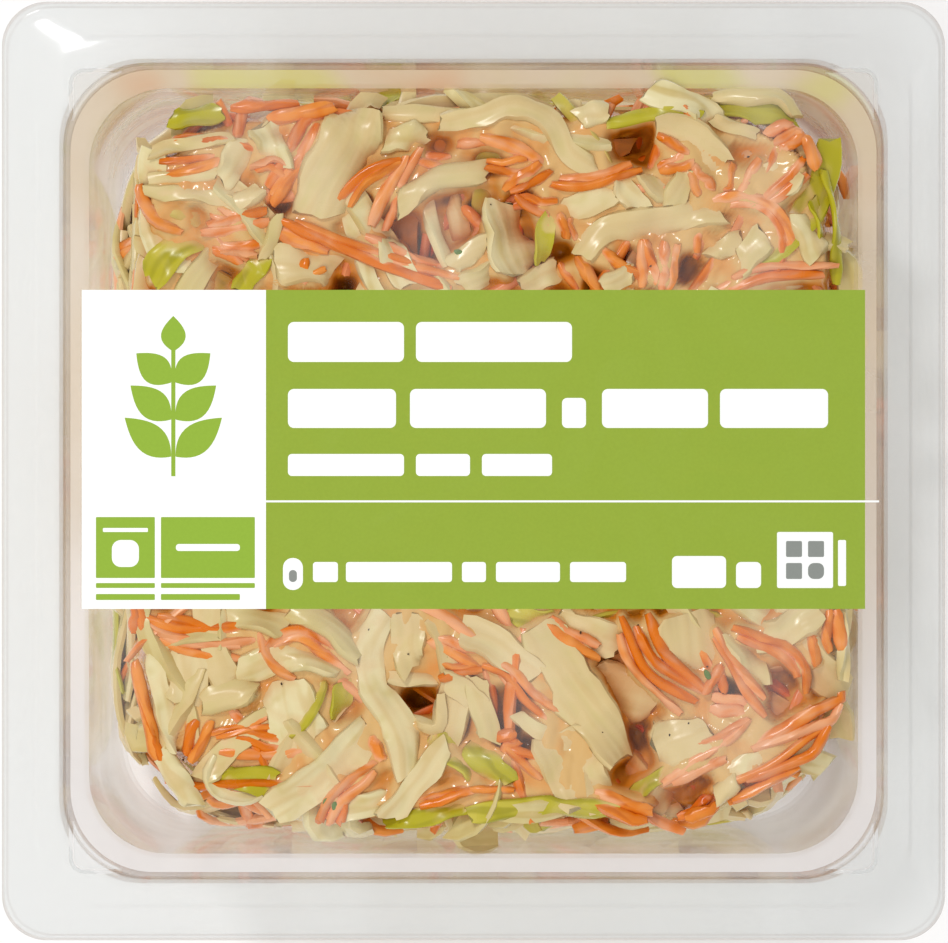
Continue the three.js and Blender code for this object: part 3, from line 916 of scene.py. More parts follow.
@dataclass
class PrintedPanel:
    """The printed panel on the film: two fields of colour, and plain shapes in place of words."""

    left: float = -51.8
    split: float = -27.45
    right: float = 51.8
    near: float = -18.25
    far: float = 23.95
    low: float = 38.26
    ink: float = 0.045
    white: InkFinish = InkFinish("white_ink", "#FBFCFA")
    green: InkFinish = InkFinish("green_ink", "#94AB3C", 0.9)
    deep: InkFinish = InkFinish("leaf_green_ink", "#93B43E")
    grey: InkFinish = InkFinish("grey_ink", "#8D918C")

    def plates(
        self, name: str, boxes: Sequence[Sequence[float]], ink: bpy.types.Material, level: int
    ) -> bpy.types.Object:
        """Make one piece of several printed shapes.

        Args:
            name: The piece's name.
            boxes: Left, near, right, far and corner radius of each.
            ink: Its ink.
            level: How many inks lie under it.

        Returns:
            The finished piece.
        """
        low = self.low + level * self.ink
        joined = bmesh.new()
        for left, near, right, far, corner in boxes:
            part = plate(left, near, right, far, low, low + self.ink, corner)
            mesh = bpy.data.meshes.new("part")
            part.to_mesh(mesh)
            part.free()
            joined.from_mesh(mesh)
            bpy.data.meshes.remove(mesh)
        printed = write_mesh(name, joined)
        clear_of_light(printed)
        return hold(printed, "label_print", "label", material=ink)

    def leaf(self, bm: bmesh.types.BMesh, at: Point, angle: float, length: float, width: float, low: float) -> None:
        """Add one pointed leaf lying flat.

        Args:
            bm: The mesh that takes it.
            at: Its stalk end.
            angle: Its direction, in degrees.
            length: Its length.
            width: Its width.
            low: Its underside's height.
        """
        verts = bmesh.ops.create_circle(bm, cap_ends=True, segments=36, radius=1.0)["verts"]
        turn = math.radians(angle)
        for vert in verts:
            x, y = vert.co.x, vert.co.y
            y *= 0.5 * width * math.sqrt(max(0.0, 1 - x * x) + 0.02) * (1 - 0.25 * x)
            x = 0.5 * length * (x + 1)
            vert.co = (
                at[0] + x * math.cos(turn) - y * math.sin(turn),
                at[1] + x * math.sin(turn) + y * math.cos(turn),
                low,
            )
        faces = list({face for vert in verts for face in vert.link_faces})
        made = bmesh.ops.extrude_face_region(bm, geom=faces, use_keep_orig=True)["geom"]
        tops = [part for part in made if isinstance(part, bmesh.types.BMVert)]
        bmesh.ops.translate(bm, vec=(0, 0, self.ink), verts=tops)

    def build_sprig(self, ink: bpy.types.Material) -> bpy.types.Object:
        """Print a plain sprig of seven leaves on the white field.

        Args:
            ink: Its ink.

        Returns:
            The finished sprig.
        """
        low = self.low + self.ink
        bm = bmesh.new()
        stalk, top, bottom = -39.7, 20.5, 0.5
        for number in range(3):
            height = bottom + 1.4 + number * 4.9
            length = 8.0 - number * 1.0
            self.leaf(bm, (stalk + 0.3, height), 40.0, length, 3.9, low)
            self.leaf(bm, (stalk - 0.3, height), 140.0, length, 3.9, low)
        self.leaf(bm, (stalk, bottom + 15.3), 90.0, top - bottom - 15.3, 3.2, low)
        stem = plate(stalk - 0.28, bottom - 1.2, stalk + 0.28, bottom + 15.5, low, low + self.ink * 0.9, 0.0)
        mesh = bpy.data.meshes.new("stem")
        stem.to_mesh(mesh)
        stem.free()
        bm.from_mesh(mesh)
        bpy.data.meshes.remove(mesh)
        bmesh.ops.recalc_face_normals(bm, faces=bm.faces)
        printed = write_mesh("printed_sprig", bm)
        clear_of_light(printed)
        return hold(printed, "label_print", "label", material=ink)

    def build(self) -> None:
        """Print the panel."""
        white, deep = self.white.build(), self.deep.build()
        self.plates("white_field", [(self.left, self.near, self.split, self.far, 0.0)], white, 0)
        self.plates("green_field", [(self.split, self.near, self.right, self.far, 0.0)], self.green.build(), 0)
        self.plates("white_marks", WORD_BARS, white, 1)
        self.plates("green_marks", GREEN_MARKS, deep, 1)
        self.plates("mark_details", MARK_DETAILS, white, 2)
        self.plates("grey_mark", GREY_MARKS, self.grey.build(), 2)
        self.build_sprig(deep)


# White marks on the green field: left, near, right, far and corner radius.
WORD_BARS = (
    (-24.54, 14.42, -9.19, 19.71, 0.79),
    (-7.61, 14.42, 13.03, 19.71, 0.79),
    (-24.54, 5.69, -10.25, 10.85, 0.79),
    (-8.40, 5.69, 9.59, 10.85, 0.79),
    (17.00, 5.69, 31.02, 10.85, 0.79),
    (32.61, 5.69, 46.90, 10.85, 0.79),
    (11.71, 5.69, 14.88, 9.66, 0.66),
    (-24.54, -0.66, -9.19, 2.25, 0.53),
    (-7.61, -0.66, -0.46, 2.25, 0.53),
    (1.12, -0.66, 10.39, 2.25, 0.53),
    (-27.45, -4.15, 53.65, -3.89, 0.00),
    (-25.20, -15.74, -22.56, -11.51, 1.26),
    (-21.23, -14.69, -17.93, -12.04, 0.40),
    (-16.87, -14.69, -2.84, -12.04, 0.40),
    (-1.52, -14.69, 1.65, -12.04, 0.40),
    (2.98, -14.69, 11.44, -12.04, 0.40),
    (12.77, -14.69, 20.18, -12.04, 0.40),
    (26.26, -15.48, 33.41, -11.25, 0.66),
    (34.73, -15.48, 38.04, -12.04, 0.66),
    (40.15, -15.48, 47.56, -8.07, 0.26),
    (48.22, -15.21, 49.28, -9.13, 0.20),
)
# Green marks on the white field.
GREEN_MARKS = (
    (-49.94, -14.16, -42.14, -6.09, 0.13),
    (-41.34, -14.16, -28.91, -6.09, 0.13),
    (-49.94, -15.48, -42.14, -14.82, 0.13),
    (-49.94, -17.07, -42.14, -16.27, 0.13),
    (-41.34, -15.48, -28.91, -14.82, 0.13),
    (-41.34, -17.07, -30.89, -16.27, 0.13),
)
# White details on the green marks.
MARK_DETAILS = (
    (-49.02, -8.07, -43.06, -7.54, 0.13),
    (-47.83, -12.70, -44.25, -9.13, 1.19),
    (-39.36, -10.58, -30.89, -9.66, 0.40),
)
# Grey spots on the white square and the white drop.
GREY_MARKS = (
    (41.34, -11.38, 43.46, -9.26, 0.20),
    (44.25, -11.38, 46.37, -9.26, 0.20),
    (41.34, -14.29, 43.46, -12.17, 0.20),
    (44.25, -14.29, 46.37, -12.17, 0.79),
    (-24.41, -14.69, -23.35, -13.10, 0.50),
)


class Kind(Enum):
    """The kinds of shred in the salad; each is one piece, named by its value."""

    CABBAGE = "cabbage_shreds"
    LEAF = "green_shreds"
    CARROT = "carrot_shreds"


CABBAGE, LEAF, CARROT = Kind.CABBAGE, Kind.LEAF, Kind.CARROT


# Sections of a shred, as shares of half its width and thickness: a fine and a coarse ribbon, and a stick.
RIBBON = (
    (0.92, 0.8), (0.6, 1.0), (0.0, 1.0), (-0.6, 1.0), (-0.92, 0.8), (-1.0, 0.0),
    (-0.92, -0.8), (-0.6, -1.0), (0.0, -1.0), (0.6, -1.0), (0.92, -0.8), (1.0, 0.0),
)  # fmt: skip
COARSE_RIBBON = (
    (0.88, 1.0), (0.0, 1.0), (-0.88, 1.0), (-1.0, 0.0), (-0.88, -1.0), (0.0, -1.0), (0.88, -1.0), (1.0, 0.0),
)  # fmt: skip
STICK = (
    (0.72, 0.8), (0.1, 1.1), (-0.6, 0.9), (-1.0, 0.1), (-0.75, -0.9), (0.0, -1.0), (0.75, -0.9), (1.0, 0.1),
)  # fmt: skip


@dataclass(frozen=True)
class Cut:
    """How a kind of shred is cut: its sizes in millimetres and how it bends."""

    length: Point
    width: Point
    thickness: Point
    turn: float  # the most that it curves in plan, in radians
    limpness: float  # how fast it bends down past a support, per millimetre
    taper: float  # share of its width left at the ends
    thin: float  # share of its thickness left at the ends
    slant: float  # how far the ends are cut aslant
    ragged: float  # unevenness of its edges, as a share of half its width
    cup: float
    ruffle: float
    twist: float  # how far it turns over along its length, in radians


CUTS = {
    CABBAGE: Cut((12, 34), (2.0, 5.4), (0.9, 1.8), 1.3, 0.035, 0.76, 0.7, 0.9, 0.2, 0.5, 0.45, 0.4),
    LEAF: Cut((12, 30), (2.2, 5.0), (0.5, 0.9), 1.2, 0.045, 0.7, 0.8, 0.8, 0.2, 0.5, 0.45, 0.4),
    CARROT: Cut((14, 42), (1.3, 2.0), (1.1, 1.6), 1.1, 0.012, 0.62, 0.62, 0.5, 0.16, 0.0, 0.1, 0.6),
}


class Laid:
    """One shred of the top whose course is given point by point."""

    def __init__(self, kind: Kind, width: float, coat: float, roll: float, *course: Point) -> None:
        """Keep the shred's facts.

        Args:
            kind: Its kind.
            width: Its width in millimetres.
            coat: How much dressing it carries, from 0 to 1.
            roll: How far it leans over along its length, in radians.
            *course: Points of its middle line, in plan.
        """
        self.kind = kind
        self.width = width
        self.coat = coat
        self.roll = roll
        self.course = np.array(course)


LAID_SHREDS = (
    Laid(LEAF, 3.4, 0.3, 0.0, (-40.2, 46.7), (-33.3, 47.5)),
    Laid(LEAF, 3.2, 0.0, 0.0, (-41.7, 35.9), (-35.4, 33.5)),
    Laid(LEAF, 3.2, 0.2, 0.0, (-30.9, 23.9), (-27.5, 28.4)),
    Laid(LEAF, 4.0, 0.1, 0.2, (-42.5, 25.0), (-40.7, 28.6), (-36.3, 31.1)),
    Laid(CARROT, 1.9, 0.5, 0.0, (-44.9, 38.5), (-42.5, 33.6), (-38.7, 31.6)),
    Laid(CARROT, 1.6, 0.3, 0.0, (-32.9, 49.3), (-28.5, 50.1), (-24.3, 50.8)),
    Laid(CARROT, 2.0, 0.3, 0.0, (-27.3, 46.6), (-23.0, 47.4), (-18.3, 48.3)),
    Laid(CABBAGE, 3.4, 0.5, 0.0, (-11.7, 43.5), (-6.4, 45.1)),
    Laid(CARROT, 2.6, 0.3, 0.0, (-2.7, 44.7), (0.3, 44.3), (3.5, 43.7)),
    Laid(CABBAGE, 4.5, 0.3, 0.0, (-28.0, 45.8), (-25.6, 40.5)),
    Laid(CARROT, 2.4, 0.2, 0.0, (-42.5, 39.8), (-37.9, 40.6), (-33.3, 41.4)),
    Laid(CABBAGE, 2.2, 0.6, 0.2, (-42.8, 42.2), (-37.5, 43.5), (-32.0, 44.3)),
    Laid(CABBAGE, 4.0, 0.6, 0.3, (-30.6, 43.8), (-33.3, 38.2)),
    Laid(CABBAGE, 1.9, 0.6, 0.2, (-43.2, 38.6), (-33.9, 39.4)),
    Laid(CABBAGE, 2.0, 0.6, -0.2, (-43.7, 37.2), (-37.5, 36.6), (-32.0, 35.9)),
    Laid(CARROT, 2.1, 0.3, 0.0, (-34.5, 34.8), (-30.2, 32.9)),
    Laid(CABBAGE, 5.8, 0.7, 0.0, (-26.3, 27.7), (-18.3, 26.9)),
    Laid(CARROT, 2.1, 0.2, 0.0, (-8.3, 41.8), (-2.7, 40.6)),
    Laid(CARROT, 2.6, 0.7, 0.0, (-7.6, 43.3), (-10.5, 37.7), (-12.8, 31.1)),
    Laid(CARROT, 2.2, 0.3, 0.0, (-8.7, 41.5), (-14.2, 38.8), (-17.5, 34.4)),
    Laid(CARROT, 2.4, 0.4, 0.0, (-16.1, 32.1), (-8.3, 27.7), (-0.9, 25.5)),
    Laid(CARROT, 2.2, 0.6, 0.0, (-34.7, 30.3), (-30.2, 27.4)),
    Laid(CARROT, 2.2, 0.5, 0.0, (-34.2, 29.2), (-28.0, 29.5)),
    Laid(CARROT, 2.0, 0.3, 0.0, (-26.5, 32.1), (-19.1, 29.1)),
    Laid(CARROT, 2.4, 0.2, 0.0, (-23.0, 24.6), (-20.8, 27.7)),
    Laid(CABBAGE, 4.0, 0.5, 0.3, (-11.7, 30.6), (-8.4, 24.6)),
    Laid(CABBAGE, 1.9, 0.6, 0.5, (-6.2, 36.5), (-5.4, 32.1), (-3.5, 27.4)),
    Laid(CABBAGE, 2.8, 0.6, -0.3, (-2.7, 36.5), (-1.7, 30.3)),
    Laid(CARROT, 1.9, 0.4, 0.0, (-1.3, 35.1), (1.0, 32.1), (0.2, 29.5)),
    Laid(CABBAGE, 3.2, 0.7, 0.3, (-3.2, 27.1), (1.4, 29.9)),
    Laid(CABBAGE, 3.2, 0.6, 0.0, (-1.8, 24.6), (2.2, 26.9)),
    Laid(CARROT, 2.9, 0.2, 0.0, (-18.7, 48.4), (-22.0, 42.2), (-28.0, 35.1)),
    Laid(CARROT, 2.1, 0.5, 0.0, (-29.6, 40.4), (-26.5, 41.0), (-24.8, 39.3)),
    Laid(CABBAGE, 2.6, 0.8, 0.3, (-32.6, 34.8), (-28.0, 37.2)),
    Laid(CABBAGE, 7.4, 0.7, 0.0, (-14.6, 47.4), (-18.2, 40.9), (-21.4, 33.9)),
    Laid(CARROT, 2.4, 0.6, 0.0, (-36.2, 32.4), (-31.6, 32.9), (-27.2, 33.6)),
    Laid(CARROT, 2.4, 0.4, 0.0, (-28.0, 35.1), (-17.7, 30.3), (-10.1, 27.4), (-2.7, 24.7)),
    Laid(CABBAGE, 1.6, 0.6, 0.4, (-25.7, 34.1), (-26.9, 30.8), (-28.0, 28.0)),
    Laid(CABBAGE, 3.4, 0.6, 0.2, (-10.1, 35.2), (-5.4, 38.6), (2.1, 40.0)),
    Laid(CABBAGE, 2.4, 0.7, 0.0, (-12.0, 47.4), (-4.4, 47.2), (3.2, 46.6)),
    Laid(LEAF, 3.4, 0.0, 0.2, (32.1, 47.8), (37.4, 47.8), (42.7, 46.4)),
    Laid(CABBAGE, 2.1, 0.5, 0.0, (31.8, 49.6), (39.9, 49.6), (42.8, 47.0)),
    Laid(LEAF, 2.1, 0.0, 0.6, (44.8, 36.0), (46.1, 31.6), (45.8, 27.1)),
    Laid(LEAF, 1.9, 0.2, 0.8, (46.6, 39.8), (48.0, 33.1), (48.2, 24.7)),
    Laid(CABBAGE, 3.4, 0.5, 0.5, (42.9, 33.9), (45.6, 28.2)),
    Laid(CABBAGE, 4.0, 0.3, 0.0, (23.1, 50.4), (29.3, 48.6), (31.8, 45.6)),
    Laid(CABBAGE, 3.2, 0.6, 0.0, (13.7, 46.6), (18.1, 47.8)),
    Laid(LEAF, 2.1, 0.3, 0.3, (17.7, 46.0), (23.5, 47.2), (30.2, 47.0)),
    Laid(CABBAGE, 5.6, 0.7, 0.0, (24.3, 45.1), (28.6, 43.8), (32.9, 40.6)),
    Laid(CARROT, 1.9, 0.3, 0.0, (0.9, 44.3), (6.2, 42.7), (9.6, 40.1)),
    Laid(CARROT, 2.1, 0.3, 0.0, (1.7, 40.9), (4.6, 40.4), (7.9, 40.6)),
    Laid(CARROT, 2.1, 0.3, 0.0, (4.0, 37.2), (6.9, 38.5), (10.0, 40.4)),
    Laid(CABBAGE, 6.6, 0.5, 0.4, (3.5, 35.9), (4.3, 31.1), (6.2, 26.3)),
    Laid(CARROT, 2.4, 0.2, 0.0, (4.8, 36.4), (7.7, 35.6), (11.0, 35.1)),
    Laid(LEAF, 2.6, 0.1, 0.0, (9.9, 34.0), (8.8, 27.7)),
    Laid(CABBAGE, 3.4, 0.6, 0.0, (6.5, 24.5), (10.9, 26.9)),
    Laid(CABBAGE, 3.7, 0.6, 0.2, (11.4, 34.5), (15.1, 35.6), (18.6, 37.0)),
    Laid(CABBAGE, 3.2, 0.6, 0.5, (19.0, 38.8), (22.2, 34.9)),
    Laid(CABBAGE, 2.4, 0.7, 0.5, (22.3, 39.2), (25.7, 35.7)),
    Laid(CABBAGE, 2.9, 0.6, -0.5, (28.6, 40.1), (26.1, 35.2)),
    Laid(CARROT, 2.6, 0.3, 0.0, (28.8, 40.4), (31.2, 36.8)),
    Laid(CABBAGE, 4.8, 0.6, 0.0, (37.1, 36.9), (42.8, 40.1)),
    Laid(CARROT, 2.4, 0.4, 0.0, (35.5, 40.4), (34.5, 38.2), (33.3, 36.1)),
    Laid(CARROT, 1.6, 0.5, 0.0, (37.9, 41.4), (36.3, 38.5), (34.9, 35.9)),
    Laid(CARROT, 2.4, 0.2, 0.0, (24.8, 39.6), (26.7, 40.7), (28.6, 42.1)),
    Laid(CARROT, 1.3, 0.2, 0.0, (24.4, 44.6), (28.6, 42.2)),
    Laid(CARROT, 1.3, 0.3, 0.0, (27.8, 48.3), (29.2, 46.6), (30.6, 44.8)),
    Laid(CABBAGE, 2.1, 0.8, 0.0, (31.7, 46.8), (37.6, 44.6)),
    Laid(CARROT, 2.4, 0.3, 0.0, (38.0, 34.9), (41.3, 38.0), (44.5, 40.7)),
    Laid(CARROT, 2.9, 0.5, 0.0, (38.8, 44.6), (41.9, 45.4), (44.9, 46.3)),
    Laid(CARROT, 1.6, 0.4, 0.0, (40.5, 42.6), (44.3, 44.5)),
    Laid(CARROT, 1.9, 0.3, 0.4, (44.0, 44.5), (45.6, 40.1)),
    Laid(CARROT, 2.4, 0.3, 0.0, (22.4, 30.6), (23.9, 23.9)),
    Laid(CARROT, 2.1, 0.3, 0.0, (26.5, 30.2), (25.2, 23.9)),
    Laid(CABBAGE, 2.9, 0.8, 0.3, (31.6, 28.4), (35.5, 30.8)),
    Laid(CABBAGE, 4.2, 0.5, 0.2, (35.4, 27.4), (38.7, 31.4)),
    Laid(CARROT, 2.2, 0.3, 0.0, (12.9, 34.0), (12.5, 30.3)),
    Laid(CARROT, 2.6, 0.4, 0.0, (11.7, 28.4), (14.5, 23.9)),
    Laid(CARROT, 1.9, 0.2, 0.0, (13.8, 28.4), (16.5, 23.9)),
    Laid(CABBAGE, 2.9, 0.6, 0.0, (17.1, 24.5), (21.2, 26.5)),
    Laid(CABBAGE, 2.4, 0.5, 0.3, (37.9, 24.7), (43.2, 25.3)),
    Laid(CARROT, 2.4, 0.4, 0.0, (33.1, 34.7), (31.0, 31.8), (29.4, 28.2)),
    Laid(CARROT, 2.1, 0.6, 0.0, (32.9, 23.9), (38.0, 26.3), (43.2, 26.5), (48.5, 26.7)),
    Laid(CARROT, 2.6, 0.4, 0.0, (32.1, 34.8), (35.5, 35.5), (38.7, 34.7), (41.1, 32.4), (41.9, 29.2), (41.6, 26.3)),
    Laid(CABBAGE, 3.6, 0.7, 0.0, (-4.4, 46.2), (0.9, 47.0), (5.9, 48.2), (10.1, 46.2), (12.5, 42.2), (16.7, 39.6)),
    Laid(CARROT, 2.4, 0.4, 0.0, (9.3, 38.5), (12.5, 38.1), (15.9, 38.5), (19.6, 39.8), (23.1, 40.9)),
    Laid(CABBAGE, 4.2, 0.8, 0.0, (14.5, 28.4), (17.8, 32.1), (23.5, 33.1), (27.8, 33.5), (32.6, 34.3)),
    Laid(CARROT, 2.4, 0.1, 0.0, (-45.2, -17.9), (-44.1, -21.8)),
    Laid(CABBAGE, 3.2, 0.5, 0.5, (-41.6, -36.9), (-39.4, -40.6), (-37.0, -44.3)),
    Laid(CABBAGE, 2.9, 0.5, 0.5, (-42.3, -23.4), (-41.2, -31.1), (-39.8, -36.9)),
    Laid(CABBAGE, 5.6, 0.7, 0.1, (-37.8, -24.3), (-37.5, -31.1)),
    Laid(LEAF, 4.0, 0.0, 0.0, (-33.3, -40.6), (-26.3, -41.1)),
    Laid(CABBAGE, 1.6, 0.5, 1.2, (-34.3, -38.0), (-35.3, -40.4), (-34.1, -42.6), (-31.2, -43.7), (-27.7, -43.0)),
    Laid(CABBAGE, 4.0, 0.6, 0.3, (-36.1, -30.8), (-32.5, -29.5), (-28.5, -29.0)),
    Laid(CABBAGE, 7.9, 0.4, 0.2, (-24.4, -27.9), (-23.7, -32.3), (-22.7, -36.6)),
    Laid(LEAF, 2.9, 0.3, 0.4, (-16.9, -27.7), (-18.5, -32.9)),
    Laid(CARROT, 3.2, 0.2, 0.0, (-38.0, -38.5), (-35.5, -32.7)),
    Laid(CARROT, 2.1, 0.3, 0.0, (-35.1, -35.7), (-30.6, -34.0), (-26.3, -32.7)),
    Laid(CARROT, 2.4, 0.4, 0.0, (-32.2, -35.3), (-25.1, -35.6)),
    Laid(CARROT, 1.6, 0.5, 0.0, (-33.7, -37.2), (-28.2, -37.7), (-22.7, -37.2)),
    Laid(CABBAGE, 4.5, 0.5, 0.2, (-31.2, -26.6), (-24.5, -24.2), (-17.4, -26.6)),
    Laid(CARROT, 2.1, 0.0, 0.0, (-28.6, -23.7), (-23.5, -21.3), (-19.8, -23.5), (-16.3, -26.9)),
    Laid(CABBAGE, 4.0, 0.5, 0.1, (-32.7, -18.7), (-24.7, -21.0)),
    Laid(CARROT, 2.6, 0.2, 0.0, (-43.7, -23.7), (-45.2, -28.7), (-44.4, -34.1), (-41.9, -40.4)),
    Laid(CARROT, 1.6, 0.4, 0.0, (-41.9, -19.2), (-37.5, -20.0), (-33.3, -21.4)),
    Laid(CARROT, 2.4, 0.6, 0.0, (-43.3, -21.0), (-37.0, -23.5), (-30.9, -23.9)),
    Laid(CARROT, 2.6, 0.5, 0.0, (-43.3, -19.4), (-39.9, -21.3), (-33.4, -22.0), (-29.0, -21.7)),
    Laid(CARROT, 1.6, 0.4, 0.0, (-28.5, -21.3), (-26.9, -25.3), (-23.7, -27.5)),
    Laid(LEAF, 2.9, 0.2, 0.0, (-11.8, -46.8), (-5.8, -45.6), (1.1, -43.9)),
    Laid(CABBAGE, 3.4, 0.4, 0.0, (-19.6, -45.9), (-10.8, -43.5)),
    Laid(LEAF, 4.2, 0.1, 0.2, (-5.4, -35.1), (1.1, -40.9)),
    Laid(CARROT, 2.1, 0.1, 0.0, (-7.2, -43.9), (0.6, -41.9)),
    Laid(CABBAGE, 4.0, 0.4, 0.1, (-24.5, -18.4), (-19.2, -20.6), (-15.3, -24.5)),
    Laid(CABBAGE, 3.4, 0.7, 0.0, (-3.6, -27.7), (1.1, -30.6)),
    Laid(CARROT, 2.1, 0.2, 0.0, (-4.7, -26.7), (1.1, -25.9)),
    Laid(CABBAGE, 2.1, 0.7, 0.2, (-11.3, -27.5), (-4.8, -27.8)),
    Laid(CABBAGE, 5.8, 0.5, 0.0, (-26.8, -45.2), (-20.7, -40.9), (-13.7, -34.5)),
    Laid(CARROT, 1.9, 0.1, 0.0, (-13.4, -35.2), (-12.1, -38.5)),
    Laid(CARROT, 1.3, 0.3, 0.0, (-16.9, -43.3), (-18.1, -48.4)),
    Laid(CARROT, 2.5, 0.4, 0.0, (-12.2, -37.8), (-17.1, -42.6), (-20.2, -48.0)),
    Laid(CABBAGE, 1.6, 0.7, 0.9, (-7.7, -33.2), (-4.8, -33.9), (-4.3, -30.0)),
    Laid(CABBAGE, 3.6, 0.6, 0.0, (-11.6, -45.9), (-7.6, -41.5), (-3.5, -36.1)),
    Laid(CABBAGE, 4.8, 0.7, 0.1, (-9.3, -18.9), (-8.3, -26.3)),
    Laid(CABBAGE, 4.5, 0.6, 0.1, (-11.8, -18.7), (-13.8, -23.9), (-12.9, -29.5), (-9.9, -34.1), (-8.7, -40.4)),
    Laid(CARROT, 2.4, 0.4, 0.0, (-5.9, -22.4), (1.1, -25.0)),
    Laid(LEAF, 3.2, 0.1, 0.0, (-0.5, -45.6), (10.1, -44.5), (19.0, -45.1)),
    Laid(LEAF, 4.0, 0.1, 0.0, (-0.5, -35.9), (4.4, -41.7)),
    Laid(CARROT, 1.1, 0.1, 0.0, (-0.5, -42.2), (5.4, -42.3)),
    Laid(LEAF, 2.4, 0.1, 0.0, (21.2, -42.9), (27.3, -38.9)),
    Laid(CARROT, 2.9, 0.1, 0.0, (6.2, -35.1), (3.2, -36.6)),
    Laid(CARROT, 2.6, 0.1, 0.0, (3.9, -36.6), (9.6, -39.8)),
    Laid(CABBAGE, 3.2, 0.6, 0.2, (0.3, -27.4), (2.3, -35.9)),
    Laid(CABBAGE, 2.4, 0.7, 0.0, (5.4, -32.4), (9.9, -34.9)),
    Laid(CARROT, 2.9, 0.1, 0.0, (14.9, -43.1), (19.4, -44.7), (24.3, -46.6)),
    Laid(CABBAGE, 8.5, 0.7, 0.0, (11.0, -34.7), (13.0, -38.9), (15.1, -44.1)),
    Laid(LEAF, 2.9, 0.0, 0.0, (4.8, -19.3), (11.2, -19.4)),
    Laid(CABBAGE, 4.5, 0.7, 0.1, (10.9, -20.0), (19.9, -23.4)),
    Laid(CARROT, 2.4, 0.5, 0.0, (9.6, -20.1), (13.3, -22.4), (17.1, -24.3)),
    Laid(CABBAGE, 6.6, 0.8, 0.0, (15.1, -27.4), (24.3, -30.8)),
    Laid(CABBAGE, 7.9, 0.8, 0.2, (28.4, -18.9), (29.4, -23.7), (30.5, -29.5)),
    Laid(CABBAGE, 6.6, 0.9, 0.0, (24.0, -37.2), (31.6, -34.8)),
    Laid(CABBAGE, 4.0, 0.6, 0.2, (34.3, -22.1), (38.2, -28.2)),
    Laid(CABBAGE, 4.5, 0.7, 0.1, (38.2, -22.6), (46.1, -18.5)),
    Laid(CARROT, 1.9, 0.0, 0.0, (44.8, -20.8), (45.6, -25.8)),
    Laid(CABBAGE, 1.9, 0.5, 0.6, (49.3, -18.7), (48.9, -27.9)),
    Laid(CARROT, 2.9, 0.1, 0.0, (47.6, -18.4), (48.2, -24.5)),
    Laid(CARROT, 2.9, 0.2, 0.0, (27.5, -46.6), (30.0, -45.0), (32.7, -43.1)),
    Laid(CARROT, 2.4, 0.0, 0.0, (32.9, -44.1), (39.2, -42.9), (45.2, -38.2)),
    Laid(CABBAGE, 4.0, 0.6, 0.0, (33.7, -40.1), (39.9, -37.7), (45.6, -34.7)),
    Laid(CABBAGE, 2.6, 0.8, 0.3, (32.1, -43.4), (35.0, -40.4)),
    Laid(CARROT, 2.4, 0.6, 0.0, (25.2, -41.7), (29.7, -39.0), (34.2, -37.2)),
    Laid(CARROT, 2.6, 0.4, 0.0, (33.3, -41.9), (40.3, -39.0), (48.4, -34.0)),
    Laid(CARROT, 2.9, 0.7, 0.0, (30.9, -30.6), (36.8, -31.8)),
    Laid(CARROT, 2.6, 0.6, 0.0, (37.5, -35.6), (41.3, -33.9), (44.9, -29.8)),
    Laid(CARROT, 2.4, 0.6, 0.0, (30.2, -37.0), (33.5, -35.5), (36.6, -32.8)),
    Laid(CARROT, 2.9, 0.6, 0.0, (37.0, -37.0), (42.0, -34.4), (50.1, -30.7)),
    Laid(CARROT, 2.1, 0.7, 0.0, (18.3, -18.9), (22.0, -26.3), (28.9, -32.1)),
    Laid(CARROT, 2.4, 0.4, 0.0, (20.4, -18.9), (23.6, -25.9), (30.0, -30.0)),
    Laid(CARROT, 1.6, 0.4, 0.0, (23.1, -18.9), (25.6, -24.3), (30.8, -29.2)),
    Laid(CARROT, 2.4, 0.2, 0.0, (32.5, -25.7), (32.0, -29.8)),
    Laid(CARROT, 2.4, 0.3, 0.0, (33.4, -20.5), (40.3, -23.2), (43.1, -26.1), (43.1, -29.4)),
    Laid(CARROT, 2.4, 0.7, 0.0, (30.9, -19.3), (34.2, -25.3), (39.5, -33.2)),
    Laid(CARROT, 2.4, 0.4, 0.0, (-0.5, -24.5), (4.2, -26.3), (7.7, -30.2), (11.3, -33.9)),
    Laid(CABBAGE, 6.6, 0.7, 0.0, (8.4, -20.5), (13.7, -29.5), (19.5, -38.5)),
    Laid(CABBAGE, 0.8, 0.6, 0.0, (36.2, -45.4), (37.4, -46.4)),
)


def smooth_course(points: np.ndarray, count: int) -> np.ndarray:
    """Run a Catmull-Rom curve through points and divide it evenly.

    Args:
        points: The points, one per row.
        count: How many points to return.

    Returns:
        Points at equal distances along the curve.
    """
    ends = np.vstack([2 * points[0] - points[1], points, 2 * points[-1] - points[-2]])
    dense = []
    share = np.linspace(0, 1, 16, endpoint=False)[:, None]
    for a, b, c, d in zip(ends, ends[1:], ends[2:], ends[3:]):
        dense.append(
            0.5 * (2 * b + (c - a) * share + (2 * a - 5 * b + 4 * c - d) * share**2 + (3 * b - a - 3 * c + d) * share**3)
        )
    dense = np.vstack([*dense, points[-1:]])
    travel = np.r_[0, np.cumsum(np.linalg.norm(np.diff(dense, axis=0), axis=1))]
    at = np.linspace(0, travel[-1], count)
    return np.stack([np.interp(at, travel, dense[:, axis]) for axis in range(points.shape[1])], axis=1)


def unit(vectors: np.ndarray) -> np.ndarray:
    """Scale each row to length 1."""
    return vectors / np.maximum(np.linalg.norm(vectors, axis=1, keepdims=True), 1e-9)


